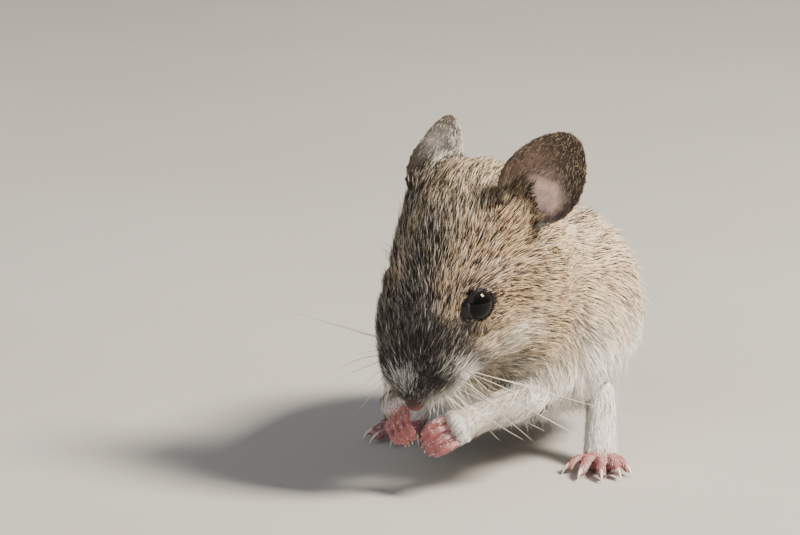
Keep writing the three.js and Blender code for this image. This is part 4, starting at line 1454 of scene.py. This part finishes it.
def bare_skin(sheet: Sheet, light: tuple, deep: tuple, flush: object = 0.0) -> Node:
    """Places the bare-skin group with its own colours."""
    inputs = {"Light": light, "Deep": deep, "Flush": flush}
    return sheet.add("ShaderNodeGroup", inputs, node_tree=skin_relief())


class Paint(NamedTuple):
    """What a finish feeds to its shader."""

    tint: NodeSocket
    roughness: NodeSocket
    relief: NodeSocket | None = None


@dataclass(frozen=True)
class Finish:
    """A material with a Principled shader whose even values are set on its own sockets."""

    name: str = "finish"
    specular: float = 0.35
    subsurface: float = 0.0
    bump: float = 0.0
    bump_depth: float = 0.05

    def material(self) -> Material:
        """Builds the material."""
        made = bpy.data.materials.new(self.name)
        made.use_nodes = True
        tree = made.node_tree
        sheet = Sheet(tree)
        shader = tree.nodes["Principled BSDF"]
        shader.inputs["Specular IOR Level"].default_value = self.specular
        if self.subsurface:
            shader.inputs["Subsurface Weight"].default_value = self.subsurface
            shader.inputs["Subsurface Radius"].default_value = (1.0, 0.35, 0.2)
            shader.inputs["Subsurface Scale"].default_value = 0.6 * METRES
        paint = self.paint(sheet)
        tree.links.new(paint.tint, shader.inputs["Base Color"])
        tree.links.new(paint.roughness, shader.inputs["Roughness"])
        if paint.relief is not None:
            inputs = {"Strength": self.bump, "Distance": self.bump_depth * METRES, "Height": paint.relief}
            bump = sheet.add("ShaderNodeBump", inputs)
            tree.links.new(bump.outputs[0], shader.inputs["Normal"])
        return made

    def paint(self, sheet: Sheet) -> Paint:
        """The colour, the roughness and the relief, if any."""
        raise NotImplementedError


@dataclass(frozen=True)
class FurredSkin(Finish):
    """Skin under the coat, in the shaded colours of the hair's lower part."""

    name: str = "furred_skin"
    bump: float = 0.6
    bump_depth: float = 0.12

    def paint(self, sheet: Sheet) -> Paint:
        """Uses the coat's own bands low down on the hair, darker round the eyes."""
        fine = sheet.noise(5.0)
        low_down = sheet.between(fine, 0.3, 0.8, 0.05, 0.45)
        inputs = {"Along": low_down, "Strand": fine, "Tone": sheet.noise(1.3)}
        inputs |= {key: sheet.value(key.lower()) for key in BAND_INPUTS if key not in inputs}
        bands = sheet.add("ShaderNodeGroup", inputs, node_tree=hair_bands())
        mottle = sheet.between(fine, 0.35, 0.65)
        leather = sheet.mix(mottle, colour(0.003, 0.003, 0.003), colour(0.022, 0.020, 0.021))
        whole = sheet.mix(sheet.value("lid"), bands.outputs["Color"], leather)
        return Paint(whole, bands.outputs["Roughness"], fine)


@dataclass(frozen=True)
class PawSkin(Finish):
    """Bare pink skin of the hands and feet."""

    name: str = "paw_skin"
    subsurface: float = 0.35
    bump: float = 0.5

    def paint(self, sheet: Sheet) -> Paint:
        """Pink, with painted shade of deep red in the hollows between the digits."""
        patchy = sheet.between(sheet.noise(0.5, 2.0), 0.45, 0.65, 0.0, 0.25)
        flush = sheet.sum("ADD", patchy, sheet.times(sheet.value("flush"), 0.75), clamp=True)
        skin = bare_skin(sheet, colour(0.74, 0.56, 0.51), colour(0.34, 0.115, 0.12), flush)
        under_hair = sheet.times(sheet.value("haired"), 0.85)
        whole = sheet.mix(under_hair, skin.outputs["Color"], colour(0.92, 0.87, 0.83))
        # painted shade: the hollows between the digits darkened towards a deep red
        whole = sheet.mix(sheet.times(sheet.value("crease_shade"), 0.8), whole, colour(0.24, 0.085, 0.075))
        return Paint(whole, skin.outputs["Roughness"], skin.outputs["Height"])


@dataclass(frozen=True)
class EarSkin(Finish):
    """Thin ear leather: dark brown, with a pink hollow and a dark rim, painted shade along the cup's edge and
    a silvery back brightened by painted sunlight.
    """

    name: str = "ear_leather"
    subsurface: float = 0.25
    bump: float = 0.5

    def paint(self, sheet: Sheet) -> Paint:
        """Mixes the dark blade, the pink hollow, the rim, the painted shade along the cup's edge and the
        silvery back with its painted sunlight.
        """
        blade = bare_skin(sheet, colour(0.075, 0.050, 0.040), colour(0.028, 0.019, 0.016))
        hollow = bare_skin(sheet, colour(0.96, 0.67, 0.57), colour(0.66, 0.36, 0.32))
        edge = sheet.sum("ADD", sheet.value("concha"), sheet.between(sheet.noise(1.2), 0.3, 0.7, -0.12, 0.12))
        brown = sheet.mix(sheet.value("veil"), blade.outputs["Color"], colour(0.25, 0.165, 0.135))
        mid = sheet.mix(sheet.between(edge, 0.05, 0.45), brown, colour(0.36, 0.235, 0.20))
        mixed = sheet.mix(sheet.between(edge, 0.40, 0.80), mid, hollow.outputs["Color"])
        # the back: dark where shaded, silvery grey where sunlit, partly painted light
        outer = sheet.mix(sheet.value("sunlit_silver"), colour(0.030, 0.023, 0.020), colour(0.12, 0.105, 0.095))
        mixed = sheet.mix(sheet.value("inner"), outer, mixed)
        # the dark rim, and painted shade along the edge of the cup above the hollow
        rim, fold_shade = sheet.times(sheet.value("rim"), 0.9), sheet.times(sheet.value("fold_shade"), 0.75)
        shade = sheet.sum("MAXIMUM", rim, fold_shade)
        whole = sheet.mix(sheet.times(shade, sheet.value("inner")), mixed, colour(0.022, 0.016, 0.014))
        return Paint(whole, blade.outputs["Roughness"], blade.outputs["Height"])


@dataclass(frozen=True)
class TailSkin(Finish):
    """Ringed tail scales, dark above and pale below."""

    name: str = "tail_scales"
    subsurface: float = 0.1
    bump: float = 0.8
    bump_depth: float = 0.09
    ring: float = 0.52

    def paint(self, sheet: Sheet) -> Paint:
        """Draws rings at an even spacing along the tail."""
        turn = sheet.times(sheet.value("run"), 2 * math.pi / self.ring)
        wave = sheet.sum("SINE", sheet.sum("ADD", turn, sheet.times(sheet.noise(1.0), 2.2)))
        rings = sheet.between(wave, -1.0, 0.4)
        top = bare_skin(sheet, colour(0.22, 0.165, 0.135), colour(0.10, 0.072, 0.060))
        below = bare_skin(sheet, colour(0.66, 0.54, 0.47), colour(0.48, 0.34, 0.29))
        mixed = sheet.mix(sheet.value("top"), below.outputs["Color"], top.outputs["Color"])
        grooved = sheet.mix(sheet.between(rings, 0.0, 0.6, 0.55, 0.0), mixed, colour(0.09, 0.062, 0.052))
        relief = sheet.sum("ADD", rings, sheet.times(top.outputs["Height"], 0.25))
        return Paint(grooved, top.outputs["Roughness"], relief)


@dataclass(frozen=True)
class NoseSkin(Finish):
    """The moist, pebbled pad of the nose."""

    name: str = "nose_pad"
    subsurface: float = 0.2
    bump: float = 0.6

    def paint(self, sheet: Sheet) -> Paint:
        """Dark brown above and dull red below."""
        brown = bare_skin(sheet, colour(0.055, 0.022, 0.018), colour(0.022, 0.011, 0.010))
        red = bare_skin(sheet, colour(0.19, 0.058, 0.048), colour(0.10, 0.028, 0.025))
        whole = sheet.mix(sheet.value("flush"), brown.outputs["Color"], red.outputs["Color"])
        return Paint(whole, sheet.times(brown.outputs["Roughness"], 0.7), brown.outputs["Height"])


@dataclass(frozen=True)
class CoatFinish(Finish):
    """Agouti fur, from the marks stored on each tuft."""

    name: str = "agouti_coat"

    def paint(self, sheet: Sheet) -> Paint:
        """Feeds the stored marks to the hair bands."""
        inputs = {key: sheet.value(key.lower()) for key in BAND_INPUTS}
        bands = sheet.add("ShaderNodeGroup", inputs, node_tree=hair_bands())
        return Paint(bands.outputs["Color"], bands.outputs["Roughness"])


@dataclass(frozen=True)
class BristleFinish(Finish):
    """Short fine hairs on bare skin, between two colours."""

    name: str = "fine_bristles"
    dark: tuple = colour(0.1, 0.08, 0.06)
    light: tuple = colour(0.8, 0.7, 0.5)
    light_back: tuple = colour(0.8, 0.7, 0.5)
    hollow: tuple = colour(0.75, 0.62, 0.52)
    dark_share: float = 0.5
    # how much paler the hairs grow over the sunlit silver of an ear's back, as painted light
    paler_back: float = 0.0

    def paint(self, sheet: Sheet) -> Paint:
        """Picks a colour for each hair and fades it at the root."""
        strand, inner = sheet.value("strand"), sheet.value("inner")
        back = sheet.sum("SUBTRACT", 1.0, inner)
        # hairs over the sunlit silver of the back turn paler: partly painted light
        silver = sheet.sum("SUBTRACT", sheet.value("sunlit_silver"), 0.35)
        shifted = sheet.sum("ADD", strand, sheet.times(sheet.times(silver, self.paler_back), back))
        pick = sheet.between(shifted, self.dark_share - 0.12, self.dark_share + 0.12)
        base = sheet.mix(pick, self.dark, sheet.mix(back, self.light, self.light_back))
        at_rim = sheet.times(sheet.value("rim"), sheet.times(inner, 0.8))
        in_hollow = sheet.between(sheet.value("concha"), 0.25, 0.7)
        blade = sheet.mix(in_hollow, sheet.mix(at_rim, base, self.dark), self.hollow)
        whole = sheet.mix(sheet.between(sheet.value("along"), 0.0, 0.6, 0.5, 0.0), blade, self.dark)
        return Paint(whole, sheet.between(strand, 0.0, 1.0, 0.4, 0.6))


@dataclass(frozen=True)
class EyeFinish(Finish):
    """A wet black eye with a very dark brown iris."""

    name: str = "wet_eye"
    specular: float = 0.13

    def paint(self, sheet: Sheet) -> Paint:
        """Lets a trace of brown show round the pupil."""
        fibres = sheet.noise(6.0, 2.0)
        iris = sheet.mix(fibres, colour(0.004, 0.0035, 0.0035), colour(0.014, 0.009, 0.007))
        ring = sheet.between(sheet.value("ring"), 0.45, 0.7)
        whole = sheet.mix(ring, colour(0.003, 0.003, 0.004), iris)
        return Paint(whole, sheet.between(fibres, 0.2, 0.8, 0.045, 0.08))


@dataclass(frozen=True)
class LidFinish(Finish):
    """Dark bluish leather of the lids, paler along the lower edge."""

    name: str = "lid_leather"
    specular: float = 0.09
    bump: float = 0.6
    bump_depth: float = 0.04

    def paint(self, sheet: Sheet) -> Paint:
        """Mottles two dark greys, paler along the lower edge."""
        fine = sheet.noise(6.0)
        mottle = sheet.between(fine, 0.35, 0.7)
        dark = sheet.mix(mottle, colour(0.006, 0.0055, 0.007), colour(0.024, 0.022, 0.026))
        whole = sheet.mix(sheet.value("low"), dark, colour(0.24, 0.225, 0.215))
        return Paint(whole, sheet.between(fine, 0.3, 0.7, 0.22, 0.42), fine)


@dataclass(frozen=True)
class HornFinish(Finish):
    """Pale translucent horn of the claws."""

    name: str = "claw_horn"
    specular: float = 0.5
    subsurface: float = 0.2
    bump: float = 0.3
    bump_depth: float = 0.02

    def paint(self, sheet: Sheet) -> Paint:
        """Pales from the root to the tip."""
        fine = sheet.noise(8.0)
        along = sheet.sum("ADD", sheet.value("along"), sheet.between(fine, 0.3, 0.7, -0.1, 0.1))
        whole = sheet.mix(along, colour(0.70, 0.52, 0.44), colour(0.82, 0.78, 0.70))
        return Paint(whole, sheet.between(fine, 0.3, 0.7, 0.28, 0.42), fine)


@dataclass(frozen=True)
class WhiskerFinish(Finish):
    """Whiskers, dark at the root and pale towards the tip, some white all along."""

    name: str = "whisker_hair"
    specular: float = 0.5

    def paint(self, sheet: Sheet) -> Paint:
        """Fades by the share of white stored on each whisker."""
        along = sheet.sum("ADD", sheet.value("along"), sheet.value("white"), clamp=True)
        pale = sheet.between(along, 0.1, 0.9)
        whole = sheet.mix(pale, colour(0.045, 0.035, 0.030), colour(0.82, 0.77, 0.68))
        return Paint(whole, sheet.between(along, 0.0, 1.0, 0.3, 0.42))


# ---------------- eyes, claws, whiskers


# The lids' edge on the eyeball: radians round from the way to the nose, and out from the eye's axis.
LID_LINE = (
    (0.58, 1.64), (0.74, 1.44), (0.90, 1.28), (1.14, 1.10), (1.42, 0.95), (1.77, 0.89), (2.18, 0.90),
    (2.54, 0.96), (2.85, 1.03), (3.17, 1.12), (3.55, 1.18), (3.88, 1.14), (4.33, 1.04), (4.88, 0.97),
    (5.45, 0.97), (5.90, 0.97), (6.24, 1.02), (6.48, 1.16), (6.68, 1.38),
)


@dataclass
class Eye:
    """One eyeball and the lids that frame it."""

    side: Side
    lid_thickness: float = 0.15
    lid_points: int = 97
    bands: int = 2  # rows of lid skin outside the rim
    rings: int = 36
    segments: int = 48
    webs: int = 12  # folds of dark skin across the front corner
    web_points: int = 7
    web_thickness: float = 0.12

    def build(self, skin: Skin, eye_material: Material, lid_material: Material) -> None:
        """Makes the eyeball and its lids."""
        self._ball(eye_material)
        self._lids(skin, lid_material)

    def _ball(self, material: Material) -> None:
        """The eyeball, with how far round from its axis each point lies."""
        place = EyePlace(self.side)
        forward, up, axis = place.basis()
        local = self._sphere_points()
        points = place.centre() + EYE_RADIUS * (local @ np.array([forward, up, axis]))
        faces = self._sphere_faces()
        if np.dot(np.cross(forward, up), axis) < 0:
            faces = faces[:, ::-1]
        mesh = mesh_from(f"eyeball_{self.side.label}", points, faces)
        put_values(mesh, "ring", np.arccos(np.clip(local[:, 2], -1, 1)) / 1.2)
        mesh.materials.append(material)
        obj = new_object(f"eyeball_{self.side.label}", mesh)
        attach(obj, BODY)
        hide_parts(f"eye_{self.side.label}")

    def _sphere_points(self) -> Array:
        """A unit sphere's points in rings round its axis, from one pole to the other."""
        polar = np.linspace(0, math.pi, self.rings + 1)[1:-1, None]
        turn = np.arange(self.segments) * 2 * math.pi / self.segments
        level = np.cos(polar) + 0 * turn
        rings = np.stack([np.sin(polar) * np.cos(turn), np.sin(polar) * np.sin(turn), level], axis=2)
        return np.vstack([(0.0, 0.0, 1.0), rings.reshape(-1, 3), (0.0, 0.0, -1.0)])

    def _sphere_faces(self) -> Array:
        """The triangles between a sphere's rings, with a fan round each pole."""
        faces = []
        last = 1 + (self.rings - 2) * self.segments
        for k in range(self.segments):
            after = (k + 1) % self.segments
            faces.append((0, 1 + k, 1 + after))
            for start in range(1, last, self.segments):
                a, b = start + k, start + after
                faces += [(a, a + self.segments, b + self.segments), (a, b + self.segments, b)]
            faces.append((last + self.segments, last + after, last + k))
        return np.array(faces)

    def _lids(self, skin: Skin, material: Material) -> None:
        """Rims that lie on the eyeball and run to a point on the skin at the front."""
        place = EyePlace(self.side)
        forward, up, axis = place.basis()
        turns = place.slant + np.linspace(0, 2 * math.pi, self.lid_points)
        knots = np.array(LID_LINE)
        polar = np.interp(turns, knots[:, 0], knots[:, 1], period=2 * math.pi)
        polar[1:-1] = (polar[:-2] + 2 * polar[1:-1] + polar[2:]) / 4
        pointed = bell(np.minimum(turns - turns[0], turns[-1] - turns), 0.4)
        upper = np.maximum(np.sin(turns), 0)
        under = bell(turns - 5.9, 0.6)
        tube = TubeMesh()
        for band in range(self.bands):
            wide = polar + 0.11 * band * (1 - pointed)
            outwards = np.outer(np.cos(turns), forward) + np.outer(np.sin(turns), up)
            ways = outwards * np.sin(wide)[:, None] + np.outer(np.cos(wide), axis)
            reach = EYE_RADIUS * (1 + 0.2 * pointed) + 0.03
            route = place.centre() + reach[:, None] * ways
            route = self._on_skin(skin, route, pointed)
            radii = self.lid_thickness * (1.0 + 0.2 * upper - 0.35 * pointed)
            tube.add(route, radii, 8, low=under * (band == self.bands - 1))
            if band == 0:
                edge = route
        for k in range(1, self.webs + 1):
            web = np.linspace(edge[k], edge[-1 - k], self.web_points)
            away = distance_to(web, place.centre())
            web = self._on_skin(skin, web, step(EYE_RADIUS - 0.1, EYE_RADIUS + 0.15, away))
            tube.add(web, np.full(self.web_points, self.web_thickness), 6, low=np.zeros(self.web_points))
        obj = tube.build(f"eyelids_{self.side.label}")
        obj.data.materials.append(material)
        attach(obj, BODY)

    def _on_skin(self, skin: Skin, route: Array, share: Array) -> Array:
        """Draws a route on to the skin by a share at each point."""
        found = [skin.tree.find_nearest(p) for p in route.tolist()]
        near = np.array([np.array(hit[0]) + np.array(hit[1]) * 0.1 for hit in found])
        return route + (near - route) * share[:, None]


@dataclass
class Claws:
    """Small curved claws at the ends of all digits."""

    rings: int = 9

    def build(self, material: Material) -> Object:
        """Makes every claw in one piece."""
        tube = TubeMesh()
        for digit in all_digits():
            self._claw(tube, digit)
        obj = tube.build("claws")
        obj.data.materials.append(material)
        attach(obj, BODY)
        return obj

    def _claw(self, tube: TubeMesh, digit: Digit) -> None:
        """Adds one claw, hooked downwards."""
        way = unit(digit.tip - digit.knuckle)
        lift = np.array((0.0, 0.0, digit.radius * 0.45))
        length = digit.radius * (1.7 if digit.on_floor else 1.3)
        root = digit.tip + lift - way * digit.radius * 0.9
        share = np.linspace(0, 1, self.rings)
        bend = np.sin(share * math.pi * 0.8) * digit.radius * 0.35 - share**2 * digit.radius * 0.75
        route = root + way * (share * (length + digit.radius * 0.6))[:, None]
        route[:, 2] += bend
        radii = digit.radius * 0.34 * (1 - share) ** 0.7 + 0.02
        if digit.on_floor:
            route[:, 2] = np.maximum(route[:, 2], radii + 0.01)
        tube.add(route, radii, 6, along=share)


@dataclass(frozen=True)
class Fringe:
    """A row of short pale hairs beside the mouth, on the left of the head's frame."""

    count: int
    front: Place
    run: Place  # from the row's front to its back
    way: Place  # how the hairs at the front point
    flare: float  # how far the hairs at the back turn outwards
    scatter: tuple[float, float]  # of where the hairs start, and of where they point
    lengths: tuple[float, float]
    white: float


FRINGES = (
    Fringe(26, (1.2, -11.6, -6.6), (4.0, 5.6, 0.0), (0.15, -0.55, -0.75), 0.5, (0.25, 0.22), (1.8, 4.6), 0.9),
    Fringe(9, (2.9, -11.3, -3.4), (1.5, 0.8, 0.0), (0.1, -0.85, -0.5), 0.0, (0.2, 0.13), (1.8, 3.4), 0.8),
)


@dataclass
class Whiskers:
    """Whiskers in rows on each side of the muzzle, and a few over the eyes."""

    seed: int = 71
    rings: int = 12
    thickness: float = 0.030
    rows: int = 4
    places: int = 4

    def build(self, skin: Skin, material: Material) -> Object:
        """Makes every whisker in one piece."""
        rng = np.random.default_rng(self.seed)
        tube = TubeMesh()
        for side in Side:
            for row in range(self.rows):
                for place in range(self.places):
                    self._pad_whisker(tube, skin, side, row, place, rng)
            for fringe in FRINGES:
                for _ in range(fringe.count):
                    self._fringe_hair(tube, skin, side, fringe, rng)
            for y in (1.0, 2.0):
                start, way = mirrored(side, (5.6, y, 3.2)), mirrored(side, (0.6, 0.2, 0.8))
                self._whisker(tube, skin, start, way, rng.uniform(4, 7), 0.3, rng)
        obj = tube.build("whiskers")
        obj.data.materials.append(material)
        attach(obj, BODY)
        return obj

    def _pad_whisker(self, tube: TubeMesh, skin: Skin, side: Side, row: int, place: int,
                     rng: Draws) -> None:
        """Adds the whisker of one row and place on the pad, longest at the back."""
        back = place / (self.places - 1)
        start = np.array((3.6 + 1.2 * back, -10.4 + 3.6 * back, -3.4 - 0.85 * row))
        way = np.array((0.80, -0.35 + 0.55 * back, -0.25 - 0.22 * row)) + rng.normal(0, 0.24, 3)
        start = mirrored(side, tuple(start + rng.normal(0, 0.25, 3)))
        length = (4.0 + 12.0 * back) * rng.uniform(0.5, 1.25)
        white = rng.uniform(0.2, 0.9) if row >= 1 else 0.1
        self._whisker(tube, skin, start, mirrored(side, tuple(way)), length, white, rng)

    def _fringe_hair(self, tube: TubeMesh, skin: Skin, side: Side, fringe: Fringe,
                     rng: Draws) -> None:
        """Adds one short hair anywhere along a fringe."""
        back = rng.random()
        start = np.array(fringe.front) + np.array(fringe.run) * back + rng.normal(0, fringe.scatter[0], 3)
        way = np.array(fringe.way) + np.array((fringe.flare, 0.0, 0.0)) * back
        way = way + rng.normal(0, fringe.scatter[1], 3)
        start, way = mirrored(side, tuple(start)), mirrored(side, tuple(way))
        self._whisker(tube, skin, start, way, rng.uniform(*fringe.lengths), fringe.white, rng)

    def _whisker(self, tube: TubeMesh, skin: Skin, start: tuple, way: tuple, length: float, white: float,
                 rng: Draws) -> None:
        """Adds one whisker that droops and thins towards its tip."""
        place, normal, _, _ = skin.tree.find_nearest(HEAD.place(start))
        root = np.array(place) - np.array(normal) * 0.3
        way = unit(HEAD.direction(way) + np.array(normal) * 0.2)
        share = np.linspace(0, 1, self.rings)
        droop = np.array((0.0, 0.0, -1.0)) * rng.uniform(0.1, 0.45)
        droop = droop + HEAD.direction((0.0, 0.5, -0.6)) * rng.uniform(0, 0.6)
        route = root + way * (share * length)[:, None] + droop * (share**2 * length * 0.5)[:, None]
        radii = self.thickness * (1 - share) ** 0.7 + 0.012
        tube.add(route, radii, 4, along=share, white=np.full(self.rings, white))


# ---------------- studio


@dataclass
class Studio:
    """The pale floor, the soft lights and the camera."""

    target: Place = (-1.52, -35.52, 24.05)
    azimuth: float = 25.0
    elevation: float = 12.0
    distance: float = 400.0
    lens: float = 148.0

    def build(self) -> None:
        """Sets everything up."""
        self._floor()
        self._world()
        self._light("key", (620, 20, 620), 230, 24.5, (1.0, 0.905, 0.76))
        self._light("fill", (-60, -820, 420), 600, 2.4, (0.92, 0.96, 1.0))
        self._camera()

    def _floor(self) -> None:
        """A wide floor that curves up into a backdrop far behind the camera's view."""
        size = 2600.0
        mesh = bpy.data.meshes.new("floor")
        shape = bmesh.new()
        bmesh.ops.create_grid(shape, x_segments=60, y_segments=60, size=size * METRES)
        for v in shape.verts:
            reach = max(0.0, v.co.xy.length - 1300 * METRES)
            v.co.z = reach**2 * 0.5
        shape.to_mesh(mesh)
        shape.free()
        for face in mesh.polygons:
            face.use_smooth = True
        floor = new_object("floor", mesh)
        made = bpy.data.materials.new("pale_floor")
        made.use_nodes = True
        sheet = Sheet(made.node_tree)
        shader = made.node_tree.nodes["Principled BSDF"]
        cloudy = sheet.between(sheet.noise(0.01, 2.0), 0.3, 0.7)
        tint = sheet.mix(cloudy, colour(0.44, 0.425, 0.40), colour(0.47, 0.455, 0.43))
        made.node_tree.links.new(tint, shader.inputs["Base Color"])
        shader.inputs["Roughness"].default_value = 0.8
        mesh.materials.append(made)

    def _world(self) -> None:
        """An even soft sky."""
        world = bpy.data.worlds.new("studio")
        world.use_nodes = True
        background = world.node_tree.nodes["Background"]
        background.inputs[0].default_value = (0.88, 0.89, 0.93, 1.0)
        background.inputs[1].default_value = 0.36
        bpy.context.scene.world = world

    def _light(self, name: str, place: Place, size: float, power: float,
               tint: tuple[float, float, float]) -> None:
        """Adds one square soft light that faces the animal."""
        lamp = bpy.data.lights.new(name, "AREA")
        lamp.shape = "SQUARE"
        lamp.size = size * METRES
        lamp.energy = power
        lamp.color = tint
        obj = bpy.data.objects.new(name, lamp)
        bpy.context.scene.collection.objects.link(obj)
        at = Vector(place) * METRES
        aim = Vector((8.0, -40.0, 20.0)) * METRES
        obj.location = at
        obj.rotation_euler = (at - aim).to_track_quat("Z", "Y").to_euler()

    def _camera(self) -> None:
        """Looks at the face from a little above and to the animal's left."""
        camera = bpy.data.cameras.new("camera")
        camera.lens = self.lens
        camera.sensor_width = 36.0
        camera.clip_start = 0.01
        camera.clip_end = 20.0
        obj = bpy.data.objects.new("camera", camera)
        bpy.context.scene.collection.objects.link(obj)
        a, e = math.radians(self.azimuth), math.radians(self.elevation)
        back = Vector((math.sin(a) * math.cos(e), -math.cos(a) * math.cos(e), math.sin(e)))
        obj.location = (Vector(self.target) + back * self.distance) * METRES
        obj.rotation_euler = back.to_track_quat("Z", "Y").to_euler()
        bpy.context.scene.camera = obj


# ---------------- the whole animal


ZONES = (
    Tufts("coat_muzzle_left", ("muzzle", "lower_jaw"), 33000, 1, side=Side.LEFT, clump=0.3,
          gather=0.2, guard_share=0.16),
    Tufts("coat_muzzle_right", ("muzzle", "lower_jaw"), 19000, 10, side=Side.RIGHT, clump=0.3,
          gather=0.2, guard_share=0.16),
    Tufts("coat_head_left", ("head",), 33000, 2, side=Side.LEFT, clump=0.6),
    Tufts("coat_head_right", ("head",), 25000, 3, side=Side.RIGHT, clump=0.6),
    Tufts("coat_neck", ("neck",), 24000, 4),
    Tufts("coat_chest", ("chest",), 13500, 5, clump=0.4, gather=0.15, guard_share=0.02),
    Tufts("coat_belly", ("belly",), 12500, 6, slot="pale_coat"),
    Tufts("coat_rump", ("rump",), 21000, 7),
    Tufts("coat_thighs", ("thigh",), 20000, 8),
    Tufts("coat_forelegs", ("upper_arm", "forearm"), 24000, 9, slot="pale_coat", gather=0.14,
          guard_share=0.03),
)


EAR_HAIR = BristleFinish("ear_hair", dark=colour(0.045, 0.034, 0.027), light=colour(0.74, 0.60, 0.40),
                         light_back=colour(0.60, 0.57, 0.51), dark_share=0.66, paler_back=0.85)
PAW_HAIR = BristleFinish("paw_hair", dark=colour(0.78, 0.73, 0.69), light=colour(0.98, 0.96, 0.93),
                         light_back=colour(0.92, 0.90, 0.87))
TAIL_HAIR = BristleFinish("tail_hair", dark=colour(0.12, 0.09, 0.07), light=colour(0.5, 0.42, 0.36),
                          light_back=colour(0.5, 0.42, 0.36))
BRISTLES = (
    (Tufts("coat_ears", ("ear",), 8000, 21, "ear_skin"), EAR_HAIR),
    (Tufts("coat_paws", ("forepaw", "hind_foot"), 12000, 22, "bare_skin"), PAW_HAIR),
    (Tufts("coat_tail", ("tail",), 5000, 23, "tail_skin"), TAIL_HAIR),
)


def main() -> None:
    """Builds the animal and its studio."""
    Studio().build()
    skin = Skin()
    skin.build()
    coat = CoatFinish().material()
    for zone in ZONES:
        zone.build(skin, coat)
    for zone, finish in BRISTLES:
        zone.build(skin, finish.material())
    eye_material, lid_material = EyeFinish().material(), LidFinish().material()
    for side in Side:
        Eye(side).build(skin, eye_material, lid_material)
    Claws().build(HornFinish().material())
    Whiskers().build(skin, WhiskerFinish().material())
    log.info("finished")


if __name__ == "__main__":
    logging.basicConfig(level=logging.INFO, format="%(message)s")
    main()
